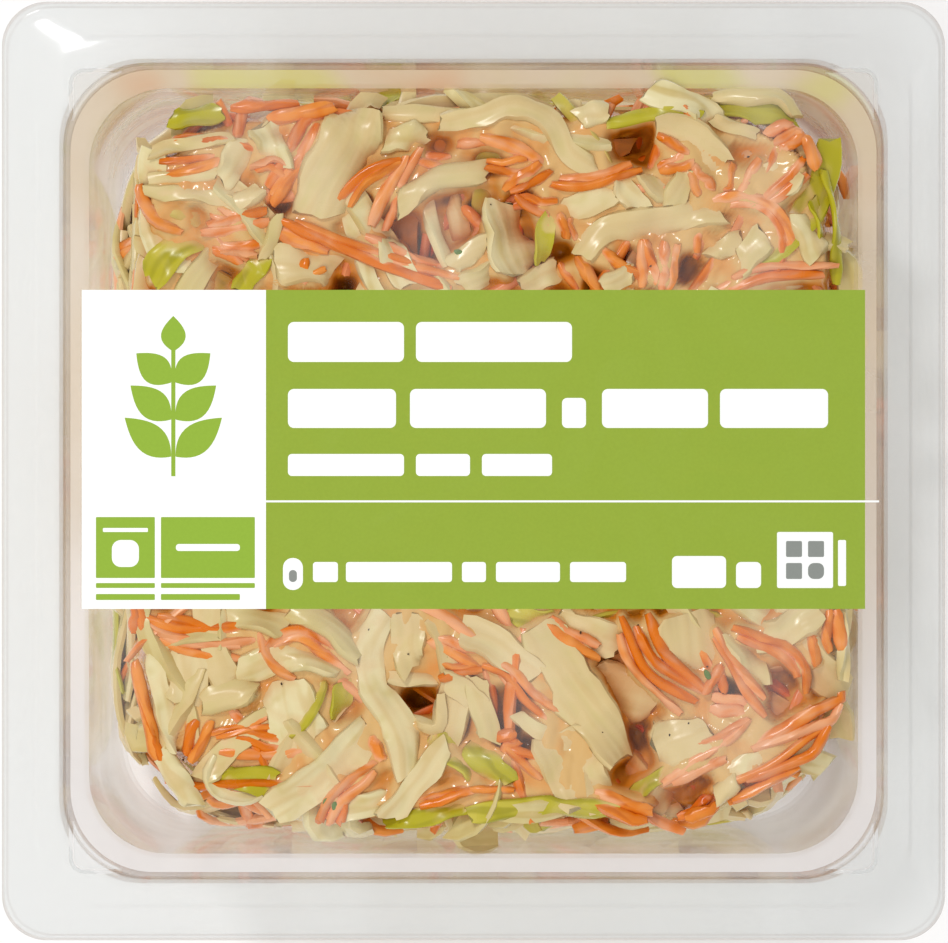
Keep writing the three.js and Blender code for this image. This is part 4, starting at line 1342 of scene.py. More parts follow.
def blur(grid: np.ndarray, sigma: float) -> np.ndarray:
    """Smooth a height grid with a Gaussian.

    Args:
        grid: The heights.
        sigma: The Gaussian's width, in cells.

    Returns:
        The smoothed heights.
    """
    reach = int(3 * sigma) + 1
    weights = np.exp(-0.5 * (np.arange(-reach, reach + 1) / sigma) ** 2)
    weights /= weights.sum()
    padded = np.pad(grid, reach, mode="edge")
    for axis in (0, 1):
        padded = np.apply_along_axis(lambda row: np.convolve(row, weights, mode="same"), axis, padded)
    return padded[reach:-reach, reach:-reach]


def spread(grid: np.ndarray, reach: float, choose: Callable[..., np.ndarray]) -> np.ndarray:
    """Carry each height out over a disc.

    Args:
        grid: The heights.
        reach: The disc's radius, in cells.
        choose: numpy.maximum to raise the surroundings, numpy.minimum to lower them.

    Returns:
        The new heights.
    """
    result = grid.copy()
    steps = range(-int(reach), int(reach) + 1)
    for dx, dy in ((dx, dy) for dx in steps for dy in steps if 0 < dx * dx + dy * dy <= reach * reach):
        result = choose(result, np.roll(grid, (dx, dy), axis=(0, 1)))
    return result


def soft_noise(rng: np.random.Generator, count: int, knots: int) -> np.ndarray:
    """Draw a smooth random run from -1 to 1.

    Args:
        rng: The random source.
        count: Number of values.
        knots: Number of free values that it runs through.

    Returns:
        The values.
    """
    free = rng.uniform(-1, 1, knots)
    return np.interp(np.linspace(0, knots - 1, count), np.arange(knots), free)


class ShredBin:
    """Collects all the shreds of one kind and writes them as one mesh."""

    def __init__(self, kind: Kind, rng: np.random.Generator) -> None:
        """Start an empty bin.

        Args:
            kind: The kind of shred.
            rng: The random source for ragged ends.
        """
        self.kind = kind
        self.cut = CUTS[kind]
        self.rng = rng
        self.points: list[np.ndarray] = []
        self.strips: list[np.ndarray] = []
        self.tones: list[np.ndarray] = []
        self.faces: list[list[int]] = []
        self.total = 0
        self.made = 0

    def add(
        self,
        path: np.ndarray,
        up: np.ndarray,
        width: np.ndarray,
        thickness: float,
        roll: np.ndarray,
        coat: float,
        fine: bool,
    ) -> None:
        """Add one shred.

        Args:
            path: Its middle line, one point per row.
            up: The direction that its broad face looks, one per point.
            width: Its width at each point.
            thickness: Its thickness.
            roll: How far it leans over at each point, in radians.
            coat: How much dressing it carries.
            fine: Whether a ribbon gets the finer section.
        """
        cut, rng, count = self.cut, self.rng, len(path)
        section = STICK if self.kind is CARROT else RIBBON if fine else COARSE_RIBBON
        wide, high = np.array(section).T
        sides = len(section)
        high = high * (1 + rng.uniform(-0.3, 0.5) * (1 - np.abs(wide)))
        forward = unit(np.gradient(path, axis=0))
        across = unit(np.cross(forward, up))
        over = np.cross(across, forward)
        lean, rise = np.cos(roll)[:, None], np.sin(roll)[:, None]
        across, over = across * lean + over * rise, over * lean - across * rise
        close = np.clip(np.minimum(np.arange(count), np.arange(count)[::-1]) / 2, 0, 1)
        edges = [1 + cut.ragged * soft_noise(rng, count, max(4, count // 2)) for _ in (0, 1)]
        lateral = np.where(wide > 0, edges[0][:, None], edges[1][:, None]) * wide * (width / 2)[:, None]
        lift = high * (thickness * (cut.thin + (1 - cut.thin) * close) / 2)[:, None]
        waves = [cut.ruffle * soft_noise(rng, count, max(3, count // 3)) for _ in (0, 1)]
        lift = lift + cut.cup * rng.uniform(-0.4, 1.0) * (width / 4)[:, None] * (wide**2 - 0.5)
        lift = lift + np.where(wide > 0, waves[0][:, None], waves[1][:, None]) * wide**2
        ring = path[:, None, :] + across[:, None, :] * lateral[:, :, None] + over[:, None, :] * lift[:, :, None]
        # Both ends are cut aslant, and the next row follows half way.
        for end, after, sign in ((0, 1, -1), (-1, -2, 1)):
            slant = rng.uniform(-cut.slant, cut.slant) * wide * min(width[end] / 2, 1.4)
            slant = slant + min(0.12 * width[end], 0.4) * rng.uniform(-1, 1, sides // 2)[np.arange(sides) % (sides // 2)]
            ring[end] += sign * forward[end] * slant[:, None]
            ring[after] += sign * 0.5 * forward[after] * slant[:, None]
        base = self.total
        for i in range(count - 1):
            for k in range(sides):
                after = (k + 1) % sides
                low, high_row = base + i * sides, base + (i + 1) * sides
                self.faces.append([low + k, low + after, high_row + after, high_row + k])
        self.faces.append([base + k for k in reversed(range(sides))])
        self.faces.append([base + (count - 1) * sides + k for k in range(sides)])
        travel = np.r_[0, np.cumsum(np.linalg.norm(np.diff(path, axis=0), axis=1))]
        strip = np.stack(
            [np.repeat(travel, sides), lateral.ravel(), np.full(count * sides, 17.0 * self.made)], axis=1
        )
        tone = np.tile([rng.uniform(0.0, 1.0), coat, 0.0], (count * sides, 1))
        self.points.append(ring.reshape(-1, 3))
        self.strips.append(strip)
        self.tones.append(tone)
        self.total += count * sides
        self.made += 1

    def write(
        self, finish: ShredFinish, sunk: Callable[[np.ndarray], np.ndarray],
        low: Callable[[np.ndarray], np.ndarray], *nodes: str
    ) -> bpy.types.Object:
        """Write the bin as one piece.

        Args:
            finish: The shreds' finish.
            sunk: Tells how deep points lie in the dressing, from 0 to 1.
            low: Tells how far they lie under their surroundings, from 0 to 1, which the finish paints as shade.
            *nodes: The CAD nodes that the piece stands for.

        Returns:
            The finished piece.
        """
        mesh = bpy.data.meshes.new(self.kind.value)
        points, tones = np.vstack(self.points), np.vstack(self.tones)
        tones[:, 2] = sunk(points)
        mesh.from_pydata((points * MM).tolist(), [], self.faces)
        for name, rows in (("strip", np.vstack(self.strips)), ("tone", tones)):
            layer = mesh.attributes.new(name, "FLOAT_VECTOR", "POINT")
            layer.data.foreach_set("vector", rows.astype(np.float32).ravel())
        layer = mesh.attributes.new("low", "FLOAT", "POINT")
        layer.data.foreach_set("value", low(points).astype(np.float32))
        tidy = bmesh.new()
        tidy.from_mesh(mesh)
        bmesh.ops.recalc_face_normals(tidy, faces=tidy.faces)
        tidy.to_mesh(mesh)
        tidy.free()
        mesh.shade_smooth()
        mesh.set_sharp_from_angle(angle=math.radians(52.0))
        piece = bpy.data.objects.new(self.kind.value, mesh)
        bpy.context.collection.objects.link(piece)
        return hold(piece, "coleslaw", *nodes, material=finish.build())


# Corners of the heap's top in plan, anticlockwise: it leaves the -X wall and cuts the corners.
HEAP_PLAN = (
    (49.3, -31.0), (49.3, 0.0), (48.9, 36.0), (45.5, 44.0), (37.0, 49.2), (-20.0, 49.3), (-36.0, 48.5),
    (-44.6, 42.0), (-45.5, 20.0), (-45.5, -25.0), (-42.5, -38.0), (-34.0, -43.5), (-20.0, -47.0),
    (0.0, -47.5), (30.0, -46.5), (45.0, -39.0),
)  # fmt: skip


# Where the dressing sinks into a hollow, dark with real and painted shade: X, Y and radius.
HOLLOWS = (
    (4.8, -31.0, 2.3), (4.5, -34.8, 1.8), (-9.8, 33.2, 2.0), (-6.4, 29.2, 2.0), (34.2, -29.6, 1.6),
    (7.5, 28.0, 2.6), (-14.4, 35.2, 1.3), (-7.0, -30.4, 1.6), (-2.4, -33.4, 1.6), (16.5, 25.0, 1.6),
    (6.0, 35.9, 1.6), (20.8, 27.8, 1.5), (18.6, -24.4, 2.0), (2.0, 41.0, 1.5), (45.2, -27.8, 1.0),
    (1.0, 35.0, 1.4), (-25.5, 35.7, 1.4), (7.2, -36.5, 1.2),
)  # fmt: skip


@dataclass
class Pile:
    """The growing surface of the heap, as a grid of heights in plan."""

    reach: float = 52.0
    cell: float = 0.3
    crown: float = 26.0
    edge: float = 20.0
    limit: float = 36.3
    knee: float = 34.0

    def __post_init__(self) -> None:
        """Lay out the bare core."""
        self.axis = np.arange(-self.reach, self.reach + self.cell / 2, self.cell)
        x, y = np.meshgrid(self.axis, self.axis, indexing="ij")
        share = self.share(np.stack([x.ravel(), y.ravel()], axis=1)).reshape(x.shape)
        self.x, self.y, self.inside = x, y, share
        ripple = 1.1 * np.sin(0.16 * x + 1.3) * np.cos(0.19 * y - 0.4) + 0.6 * np.sin(0.41 * x - 0.3 * y)
        fall = np.clip(share, 0, 1.15) ** 7
        self.height = self.crown + ripple * (1 - fall) - (self.crown - self.edge) * fall

    def share(self, points: np.ndarray) -> np.ndarray:
        """How far out each point lies: 0 in the middle, 1 on the edge of the heap's top."""
        corners = np.array(HEAP_PLAN)
        along = np.roll(corners, -1, axis=0) - corners
        normal = unit(np.stack([along[:, 1], -along[:, 0]], axis=1))
        offset = (normal * corners).sum(axis=1)
        return ((points @ normal.T) / offset).max(axis=1)

    def cells(self, points: np.ndarray) -> tuple[np.ndarray, np.ndarray]:
        """The grid cells that hold points."""
        index = np.clip(np.rint((points + self.reach) / self.cell).astype(int), 0, len(self.axis) - 1)
        return index[:, 0], index[:, 1]

    def at(self, points: np.ndarray) -> np.ndarray:
        """The pile's height at points in plan."""
        return self.height[self.cells(points)]

    def drape(
        self, plan: np.ndarray, width: np.ndarray, thickness: float, limpness: float, sink: float
    ) -> tuple[np.ndarray, np.ndarray]:
        """Lay a strip on the pile.

        Args:
            plan: Its middle line in plan.
            width: Its width at each point.
            thickness: Its thickness.
            limpness: How fast it bends down past a support.
            sink: How deep it beds in.

        Returns:
            The height of its middle line, and how far it leans over, at each point.
        """
        forward = unit(np.gradient(plan, axis=0))
        right = np.stack([forward[:, 1], -forward[:, 0]], axis=1)
        rows = []
        for offset in (-0.85, -0.45, 0.0, 0.45, 0.85):
            rows.append(self.at(plan + right * (offset * width / 2)[:, None]))
        under = np.array(rows)
        rest = np.sort(under, axis=0)[-2] + thickness / 2 - sink
        travel = np.r_[0, np.cumsum(np.linalg.norm(np.diff(plan, axis=0), axis=1))]
        gap = travel[:, None] - travel[None, :]
        height = (rest[None, :] - limpness * gap**2).max(axis=1)
        for _ in (0, 1):
            height[1:-1] = (height[:-2] + 2 * height[1:-1] + height[2:]) / 4
        over = np.maximum(height - self.knee, 0)
        room = self.limit - self.knee - thickness / 2
        height = np.minimum(height, self.knee) + room * (1 - np.exp(-over / room))
        lean = np.arctan2(under[4] - under[0], np.maximum(width, 1.5))
        kernel = np.array([1, 2, 3, 2, 1]) / 9
        lean = np.convolve(np.pad(lean, 2, mode="edge"), kernel, mode="valid")
        return height, np.clip(0.6 * lean, -0.45, 0.45)

    def press(
        self, plan: np.ndarray, height: np.ndarray, width: np.ndarray, thickness: float, roll: np.ndarray
    ) -> None:
        """Raise the pile's surface to the top of a strip that now lies on it."""
        travel = np.r_[0, np.cumsum(np.linalg.norm(np.diff(plan, axis=0), axis=1))]
        fine = np.arange(0, travel[-1], self.cell * 0.8)
        x, y, z, w, r = (np.interp(fine, travel, row) for row in (plan[:, 0], plan[:, 1], height, width, roll))
        forward = unit(np.gradient(np.stack([x, y], axis=1), axis=0))
        right = np.stack([forward[:, 1], -forward[:, 0]], axis=1)
        for offset in np.linspace(-1, 1, 3 + int(width.max() / self.cell)):
            lateral = offset * w / 2
            spots = np.stack([x, y], axis=1) + right * (lateral * np.cos(r))[:, None]
            top = z + lateral * np.sin(r) + thickness / 2 * (1 - 0.5 * abs(offset) ** 3)
            np.maximum.at(self.height, self.cells(spots), top)

    def cover(self, relief: np.ndarray, blush: np.ndarray, plan: np.ndarray, width: float, tint: float) -> None:
        """Raise a relief, and colour it, over a strip that the dressing hides.

        Args:
            relief: The relief, which is changed.
            blush: How much carrot shows through, which is changed.
            plan: The strip's middle line in plan.
            width: Its width.
            tint: How much carrot shows through it.
        """
        forward = unit(np.gradient(plan, axis=0))
        right = np.stack([forward[:, 1], -forward[:, 0]], axis=1)
        for offset in np.linspace(-1, 1, 3 + int(width / self.cell)):
            cells = self.cells(plan + right * (offset * width / 2))
            relief[cells] = np.maximum(0.4 * relief[cells], math.sqrt(1 - 0.9 * offset**2))
            blush[cells] = tint


@dataclass
class Heap:
    """The salad: a core of dressing with shreds draped over, round and under it."""

    tub: Tub
    seed: int = 2507
    gap: float = 0.45
    corner_start: float = 34.0  # past this on both axes the wall turns, and few shreds lie there
    corner_share: float = 0.36
    fillet: float = 1.2  # radius of the gaps that the dressing fills
    bank_reach: float = 0.5
    bank_drop: float = 0.85
    blend: float = 0.65  # height over which a shred runs out into the dressing
    covered: int = 900  # shreds that the dressing hides
    covered_rise: float = 0.9
    lower: int = 330
    upper: int = 120
    side_count: int = 380
    base_count: int = 130
    single: float = 2.1  # a laid carrot shred narrower than this is one strand
    double: float = 3.5  # and one narrower than this is two
    cabbage: ShredFinish = ShredFinish(
        "blanched_white_cabbage", "#CEBB7E", "#DFD2A2", "#BCA050", "#D9BE8C", 0.7, 0.8, 0.3
    )
    leaf: ShredFinish = ShredFinish(
        "green_cabbage_leaf", "#B2A81E", "#C9BA4C", "#8C8410", "#D3BB74", 0.45, 0.8, 0.25
    )
    carrot: ShredFinish = ShredFinish(
        "grated_carrot", "#DA7004", "#E68E3A", "#BC5600", "#EAAC80", 0.8, 1.5, 0.16
    )

    def __post_init__(self) -> None:
        """Start the pile, the bins and the random source."""
        self.rng = np.random.default_rng(self.seed)
        self.pile = Pile()
        self.bins = {kind: ShredBin(kind, self.rng) for kind in Kind}

    def pick(self) -> Kind:
        """Draw a kind: over half cabbage, a third carrot, the rest green leaf."""
        draw = self.rng.uniform()
        return CABBAGE if draw < 0.56 else CARROT if draw < 0.9 else LEAF

    def inside(self, plan: np.ndarray, room: float) -> np.ndarray:
        """Pull points in until they lie in the heap's plan."""
        share = self.pile.share(plan) / room
        return plan / np.maximum(share, 1)[:, None]

    def widths(self, kind: Kind, width: float, count: int) -> np.ndarray:
        """The width of a shred along its length, uneven and narrower at its ends."""
        cut = CUTS[kind]
        share = np.linspace(0, 1, count)
        ends = np.clip(np.minimum(share, 1 - share) / 0.16, 0, 1)
        uneven = 1 + 0.14 * soft_noise(self.rng, count, 5)
        return width * uneven * (cut.taper + (1 - cut.taper) * np.sin(ends * math.pi / 2))

    def lay(self, kind: Kind, plan: np.ndarray, width: float, coat: float, roll: float, fine: bool, sink: float) -> None:
        """Drape one shred over the pile and add it to its bin.

        Args:
            kind: Its kind.
            plan: Its middle line in plan.
            width: Its width.
            coat: How much dressing it carries.
            roll: How far it leans over.
            fine: Whether a ribbon gets the finer section.
            sink: How deep it beds in.
        """
        cut = CUTS[kind]
        widths = self.widths(kind, width, len(plan))
        thickness = self.rng.uniform(*cut.thickness)
        level = widths * abs(math.cos(roll)) + 0.3
        height, lean = self.pile.drape(plan, level, thickness, cut.limpness, sink)
        turn = lean + roll + cut.twist * soft_noise(self.rng, len(plan), 4)
        self.pile.press(plan, height, widths, thickness, turn)
        up = np.tile([0.0, 0.0, 1.0], (len(plan), 1))
        path = np.column_stack([plan, height])
        self.bins[kind].add(path, up, widths, thickness, turn, coat, fine)

    def scatter(self, count: int, shorter: float) -> None:
        """Drape loose shreds, each on the lowest of a few places.

        Args:
            count: How many.
            shorter: Share of the cut's length.
        """
        for _ in range(count):
            kind = self.pick()
            cut = CUTS[kind]
            length = self.rng.uniform(*cut.length) * shorter
            room = self.rng.uniform(0.95, 1.03)
            best = None
            for _ in range(5):
                centre = self.rng.uniform(-46, 49, 2)
                if self.pile.share(centre[None])[0] > 0.96:
                    continue
                heading = self.rng.uniform(0, 2 * math.pi)
                bend = self.rng.uniform(-cut.turn, cut.turn)
                steps = np.linspace(-0.5, 0.5, 5)
                angle = heading + bend * steps
                line = np.cumsum(np.stack([np.cos(angle), np.sin(angle)], axis=1), axis=0) * length / 5
                line = self.inside(line - line[2] + centre, room)
                low = self.pile.at(line).mean()
                if best is None or low < best[0]:
                    best = (low, line)
            if best is None:
                continue
            plan = smooth_course(best[1], max(8, int(length / 1.6)))
            width = self.rng.uniform(*cut.width)
            roll = self.rng.normal(0, 0.3)
            self.lay(kind, plan, width, self.rng.uniform(0.1, 0.8), roll, False, 0.3)

    def lay_top(self) -> None:
        """Lay the shreds whose courses are given, from the lowest to the uppermost."""
        for shred in LAID_SHREDS:
            travel = np.linalg.norm(np.diff(shred.course, axis=0), axis=1).sum()
            plan = smooth_course(shred.course, max(10, int(travel / 0.9)))
            if shred.kind is CARROT:
                self.lay_bundle(shred, plan)
            else:
                self.lay(shred.kind, plan, shred.width, shred.coat, shred.roll, True, 0.35)

    def lay_bundle(self, shred: Laid, plan: np.ndarray) -> None:
        """Lay a bundle of fine carrot shreds side by side, as the grater drops them.

        Args:
            shred: What the bundle stands for.
            plan: Its middle line in plan.
        """
        strands = 1 if shred.width < self.single else 2 if shred.width < self.double else 3
        forward = unit(np.gradient(plan, axis=0))
        right = np.stack([forward[:, 1], -forward[:, 0]], axis=1)
        count = len(plan)
        for number in range(strands):
            offset = (number - (strands - 1) / 2) * shred.width / strands
            fan = self.rng.uniform(-0.6, 0.9) * np.linspace(-1, 1, count) * np.sign(offset)
            stray = offset * (1 + 0.4 * soft_noise(self.rng, count, 4)) + 0.3 * soft_noise(self.rng, count, 4) + fan
            line = self.inside(plan + right * (stray if strands > 1 else 0 * stray)[:, None], 0.99)
            short = max(1, int(0.24 * count))
            first, last = (self.rng.integers(0, short, 2) if strands > 1 else (0, 0))
            line = line[first : count - last]
            coat = float(np.clip(shred.coat + self.rng.uniform(-0.25, 0.25), 0, 1))
            width = self.rng.uniform(0.95, 1.4) * shred.width / strands if strands > 1 else shred.width
            self.lay(CARROT, line, width, coat, shred.roll, True, 0.35)

    def rim(self, along: float, half: float) -> tuple[Point, Point]:
        """A point on a ring of the heap, and the way out there.

        Args:
            along: How far round, from 0 to 1.
            half: Half the ring's width.

        Returns:
            The point, and the unit vector that points out.
        """
        radius = self.corner_share * half
        straight = half - radius
        side_length, bend = 2 * straight, radius * math.pi / 2
        travel = (along % 1.0) * 4 * (side_length + bend)
        side, rest = divmod(travel, side_length + bend)
        if rest < side_length:
            x, y, outward = half, rest - straight, 0.0
        else:
            outward = (rest - side_length) / radius
            x, y = straight + radius * math.cos(outward), straight + radius * math.sin(outward)
        turn = side * math.pi / 2
        point = (x * math.cos(turn) - y * math.sin(turn), x * math.sin(turn) + y * math.cos(turn))
        return point, (math.cos(outward + turn), math.sin(outward + turn))

    def ring_half(self, height: float, inset: float) -> float:
        """Half the width of the heap at a height, less an inset."""
        return self.tub.wall_half(height) - self.gap - inset

    def draw_in(self, point: Point, height: float) -> Point:
        """Keep a side shred's point inside the heap's plan, which widens downwards.

        Args:
            point: The point on the ring.
            height: Its height.

        Returns:
            The point, moved in where the heap is cut short.
        """
        limit = 1.0 + 0.25 * min(max((20.0 - height) / 12.0, 0.0), 1.0)
        share = self.pile.share(np.array([point]))[0]
        scale = min(1.0, limit / share)
        return point[0] * scale, point[1] * scale

    def lay_sides(self) -> None:
        """Press shreds flat against the wall all round, with few in the corners."""
        for number in range(self.side_count):
            kind = self.pick()
            cut = CUTS[kind]
            length = self.rng.uniform(*cut.length) * 0.75
            width = self.rng.uniform(*cut.width) * 0.9
            thickness = self.rng.uniform(*cut.thickness) * 0.8
            start, level = self.rng.uniform(), self.rng.uniform(3.5, 24.0)
            slope, bend = self.rng.uniform(-0.75, 0.75), self.rng.uniform(-0.5, 0.5)
            middle, _ = self.rim(start, self.ring_half(level, 0.0))
            if min(abs(middle[0]), abs(middle[1])) > self.corner_start and self.rng.uniform() < 0.85:
                continue
            count = max(8, int(length / 1.8))
            steps = np.linspace(-0.5, 0.5, count)
            level = level + length * (np.sin(slope) * steps + bend * 0.3 * steps**2)
            level = np.clip(level, 1.8 + width / 2, 25.5 - width / 2)
            path, up = [], []
            for step, height in zip(steps, level):
                half = self.ring_half(height, thickness / 2 + 0.06 + 0.5 * (number % 3) * 0.4)
                around = start + step * length * math.cos(slope) / (7.4 * half)
                point, out = self.rim(around, half)
                x, y = self.draw_in(point, height)
                path.append((x, y * DEPTH_SHARE, height))
                up.append((out[0], out[1], 0.12))
            self.bins[kind].add(
                np.array(path), unit(np.array(up)), self.widths(kind, width, count), thickness,
                np.zeros(count), self.rng.uniform(0.2, 0.8), False,
            )  # fmt: skip

    def lay_base(self) -> None:
        """Press shreds flat on the tub's base."""
        for _ in range(self.base_count):
            kind = self.pick()
            cut = CUTS[kind]
            length = self.rng.uniform(*cut.length) * 0.8
            heading, bend = self.rng.uniform(0, 2 * math.pi), self.rng.uniform(-0.6, 0.6)
            angle = heading + bend * np.linspace(-0.5, 0.5, 4)
            line = np.cumsum(np.stack([np.cos(angle), np.sin(angle)], axis=1), axis=0) * length / 4
            plan = smooth_course(line + self.rng.uniform(-36, 36, 2), max(8, int(length / 2)))
            plan = np.clip(plan, -41, 41)
            count = len(plan)
            thickness = self.rng.uniform(*cut.thickness) * 0.7
            path = np.column_stack([plan, np.full(count, 2.15 + thickness / 2)])
            self.bins[kind].add(
                path, np.tile([0.0, 0.0, -1.0], (count, 1)), self.widths(kind, 3.0, count), thickness,
                np.zeros(count), 0.5, False,
            )  # fmt: skip

    def cover_shreds(self) -> tuple[np.ndarray, np.ndarray]:
        """Scatter shreds that lie wholly in the dressing and only raise and tint it.

        Returns:
            Their relief, from 0 to 1, and how much carrot shows through.
        """
        pile = self.pile
        relief, blush = np.zeros_like(pile.height), np.zeros_like(pile.height)
        for _ in range(self.covered):
            length, width = self.rng.uniform(6, 18), self.rng.uniform(1.2, 3.4)
            angle = self.rng.uniform(0, 2 * math.pi) + self.rng.uniform(-0.8, 0.8) * np.linspace(-0.5, 0.5, 4)
            line = np.cumsum(np.stack([np.cos(angle), np.sin(angle)], axis=1), axis=0) * length / 4
            plan = smooth_course(line + self.rng.uniform(-52, 50, 2), int(length / pile.cell * 1.25))
            carrot = width < 2.1
            pile.cover(relief, blush, plan, width, self.rng.uniform(0.5, 1.0) if carrot else 0.0)
        return blur(relief, 0.3 / pile.cell), blur(blush, 0.3 / pile.cell)

    def settle_dressing(self) -> None:
        """Work out how high the dressing stands: it fills narrow gaps and leaves the hollows."""
        pile = self.pile
        reach = self.fillet / pile.cell
        filled = blur(spread(spread(pile.height, reach, np.maximum), reach, np.minimum), 0.5 / pile.cell)
        fine = blur(self.rng.uniform(-1, 1, filled.shape), 3.6 / pile.cell)
        depth = 1.25 + 0.6 * np.clip(fine / fine.std() / 2, -0.7, 1.3)
        relief, self.blush = self.cover_shreds()
        # A bank of dressing climbs the side of each shred.
        bank = blur(spread(pile.height, self.bank_reach / pile.cell, np.maximum), 0.35 / pile.cell) - self.bank_drop
        level = np.maximum(filled - depth + self.covered_rise * relief, bank)
        for x, y, radius in HOLLOWS:
            away = ((pile.x - x) ** 2 + (pile.y - y) ** 2) / radius**2
            level = level - 3.2 * np.exp(-0.7 * away**1.5)
        surface = np.minimum(level, pile.limit - 0.5)
        fall = np.clip((pile.inside - 0.95) / 0.07, 0, 1)
        self.surface = blur(surface * (1 - fall) + np.minimum(surface, 21.0) * fall, 0.2 / pile.cell)
        self.crest = blur(spread(pile.height, 2.0 / pile.cell, np.maximum), 1.2 / pile.cell)

    def sunk(self, points: np.ndarray) -> np.ndarray:
        """Tell how deep points lie in the dressing, from 0 above it to 1 where it covers them."""
        above = points[:, 2] - self.surface[self.pile.cells(points[:, :2])]
        depth = np.clip(1 - (above - 0.05) / self.blend, 0, 1)
        return np.where(above < -1.6, 0.4, depth)

    def low(self, points: np.ndarray) -> np.ndarray:
        """Tell how far points of the heap's top lie under their surroundings, from 0 to 1, for the shreds' painted
        shade.
        """
        under = self.crest[self.pile.cells(points[:, :2])] - points[:, 2]
        share = self.pile.share(points[:, :2])
        inner = np.clip((0.99 - share) / 0.05, 0, 1) * np.clip((points[:, 2] - 22) / 3, 0, 1)
        return np.clip((under - 0.9) / 2.8, 0, 1) * inner

    def build_dressing(self, finish: DressingFinish) -> bpy.types.Object:
        """Make the core: dressing that fills the heap and shows in its gaps.

        Args:
            finish: Its finish.

        Returns:
            The finished core.
        """
        pile, surface = self.pile, self.surface
        bm = bmesh.new()
        hollow, carrot = (bm.verts.layers.float.new(name) for name in ("hollow", "carrot"))
        bmesh.ops.create_grid(bm, x_segments=300, y_segments=300, size=1.0)
        half = self.ring_half(21.0, 0.9)
        spots = np.array([vert.co[:2] for vert in bm.verts])
        out = np.maximum(np.abs(spots).max(axis=1), 1e-6)[:, None]
        edge = np.array([rounded(u, v, half, self.corner_share) for u, v in spots / out])
        # The core keeps inside the heap's plan, which cuts its corners.
        kept = 1 - (1 - 1 / np.maximum(pile.share(edge), 1.0))[:, None] * out**2
        plan = kept * np.array([rounded(u, v, half, self.corner_share) for u, v in spots])
        cells = pile.cells(plan)
        height = surface[cells]
        inner = np.clip((1 - pile.inside[cells]) / 0.05, 0.2, 1)
        # How far the dressing lies under the heap's crest, which its finish paints as shade.
        hollows = inner * np.clip((self.crest[cells] - height - 1.0) / 3.0, 0, 1)
        for vert, (x, y), z, deep, tint in zip(bm.verts, plan, height, hollows, self.blush[cells]):
            vert[hollow], vert[carrot] = deep, tint
            vert.co = (x, y * DEPTH_SHARE, z)
        edges = [edge for edge in bm.edges if edge.is_boundary]
        for height in (17.0, 12.0, 7.0, 4.0, 2.7):
            made = bmesh.ops.extrude_edge_only(bm, edges=edges)["geom"]
            edges = [part for part in made if isinstance(part, bmesh.types.BMEdge)]
            narrower = self.ring_half(height, 0.9 + max(0.0, 4.5 - height)) / half
            for vert in (part for part in made if isinstance(part, bmesh.types.BMVert)):
                vert.co = (vert.co.x * narrower, vert.co.y * narrower, height)
            half = self.ring_half(height, 0.9 + max(0.0, 4.5 - height))
        bmesh.ops.edgeloop_fill(bm, edges=edges)
        bmesh.ops.recalc_face_normals(bm, faces=bm.faces)
        core = write_mesh("creamy_dressing", bm, 85.0)
        return hold(core, "coleslaw", "coleslaw", material=finish.build())

    def build_specks(self, name: str, finish: SpeckFinish, spots: Sequence[Point], size: Point, flat: float) -> None:
        """Drop specks on the heap.

        Args:
            name: The piece's name.
            finish: The specks' finish.
            spots: Where they lie in plan.
            size: Their smallest and largest size.
            flat: Their thickness over their size.
        """
        bm = bmesh.new()
        for spot in spots:
            verts = bmesh.ops.create_icosphere(bm, subdivisions=1, radius=0.5)["verts"]
            reach = self.rng.uniform(*size)
            turn = self.rng.uniform(0, math.pi)
            height = min(float(self.pile.at(np.array([spot]))[0]), self.pile.limit) + 0.05
            for vert in verts:
                x, y, z = vert.co
                x, y, z = x * reach * self.rng.uniform(0.8, 1.2), y * reach * 0.6, z * reach * flat
                vert.co = (
                    spot[0] + x * math.cos(turn) - y * math.sin(turn),
                    spot[1] + x * math.sin(turn) + y * math.cos(turn),
                    height + z,
                )
        hold(write_mesh(name, bm), "coleslaw", "coleslaw", material=finish.build())

    def build(self) -> None:
        """Lay the whole salad."""
        self.lay_sides()
        self.lay_base()
        self.scatter(self.lower, 1.0)
        self.scatter(self.upper, 0.9)
        self.lay_top()
        self.settle_dressing()
        for kind, finish in ((CABBAGE, self.cabbage), (LEAF, self.leaf), (CARROT, self.carrot)):
            self.bins[kind].write(finish, self.sunk, self.low, "coleslaw")
            log.info("%s: %d shreds, %d faces", kind.value, self.bins[kind].made, len(self.bins[kind].faces))
        self.build_dressing(DressingFinish())
        pepper = [(28.5, -33.5), (14.2, -21.4), (-19.6, 38.5), (-10.4, 33.2), (26.0, -35.0)]
        pepper += [tuple(self.rng.uniform(-42, 44, 2)) for _ in range(22)]
        self.build_specks("pepper_specks", SpeckFinish("ground_pepper", "#2A1D12", "#4A3420"), pepper, (0.28, 0.5), 0.8)
        herbs = [(-19.6, -43.9), (-5.1, -25.6), (-18.4, -44.4), (-3.9, -25.0), (31.0, -27.0), (-2.0, 29.0)]
        self.build_specks("herb_bits", SpeckFinish("chopped_herb", "#3F5520", "#6E8A35"), herbs, (0.8, 1.7), 0.25)


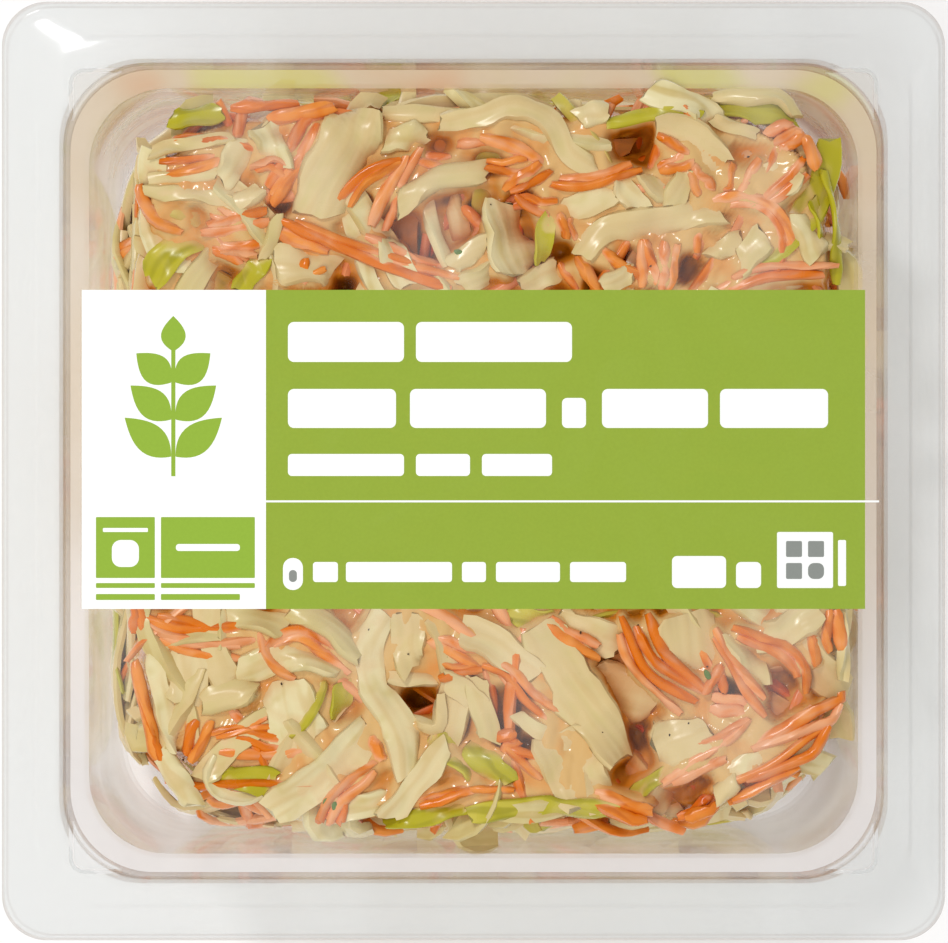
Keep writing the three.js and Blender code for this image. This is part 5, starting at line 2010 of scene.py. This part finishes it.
@dataclass
class Studio:
    """A white sweep, a soft top light and a camera straight above."""

    distance: float = 1500.0
    frame_width: float = 125.42  # what the picture's width spans at the flange
    sensor: float = 36.0
    floor: float = 3000.0

    def build_floor(self) -> None:
        """Lay the sweep just under the tub's foot."""
        bm = bmesh.new()
        bmesh.ops.create_grid(bm, x_segments=1, y_segments=1, size=self.floor)
        bmesh.ops.translate(bm, vec=(0, 0, -0.15), verts=bm.verts)
        sweep = write_mesh("studio_floor", bm)
        sweep.data.materials.append(FloorFinish().build())

    def build_light(
        self, name: str, at: tuple[float, float, float], size: float, power: float, mirrored: bool
    ) -> None:
        """Hang a square soft light that looks at the middle of the pack.

        Args:
            name: Its name.
            at: Its place, in metres.
            size: Its width, in metres.
            power: Its power, in watts.
            mirrored: Whether it shows in reflections.
        """
        data = bpy.data.lights.new(name, "AREA")
        data.size = size
        data.energy = power
        light = bpy.data.objects.new(name, data)
        light.location = at
        down = -light.location.normalized()
        light.rotation_euler = down.to_track_quat("-Z", "Y").to_euler()
        light.visible_glossy = mirrored
        bpy.context.collection.objects.link(light)

    def build_world(self) -> None:
        """Fill the room with even white light."""
        world = bpy.data.worlds.new("white_room")
        world.use_nodes = True
        tree = world.node_tree
        tree.nodes.clear()
        sky = add(tree, "ShaderNodeBackground", {"Color": (1.0, 1.0, 1.0, 1.0), "Strength": 0.5})
        add(tree, "ShaderNodeOutputWorld", {"Surface": sky.outputs[0]})
        bpy.context.scene.world = world

    def build_camera(self) -> None:
        """Set the camera straight above, with +Y up in the picture."""
        data = bpy.data.cameras.new("camera")
        data.sensor_width = self.sensor
        data.lens = self.sensor * self.distance / self.frame_width
        data.clip_end = 20.0
        camera = bpy.data.objects.new("camera", data)
        camera.location = (0.07 * MM, -0.07 * MM, (self.distance + 38.0) * MM)
        bpy.context.collection.objects.link(camera)
        bpy.context.scene.camera = camera

    def build(self) -> None:
        """Set up the whole studio."""
        self.build_floor()
        self.build_world()
        self.build_light("key_light", (-0.24, -0.3, 0.85), 0.7, 3.9, False)
        self.build_light("spark_light", (-0.3, 0.5, 0.9), 0.12, 2.8, True)
        self.build_camera()
        bpy.context.scene.view_settings.view_transform = "Standard"


def main() -> None:
    """Build the studio and the pack."""
    logging.basicConfig(level=logging.INFO, format="%(name)s: %(message)s")
    Studio().build()
    tub = Tub()
    tub.build(ClearSheetFinish())
    Heap(tub).build()
    Film().build(FilmFinish())
    PrintedPanel().build()


if __name__ == "__main__":
    main()
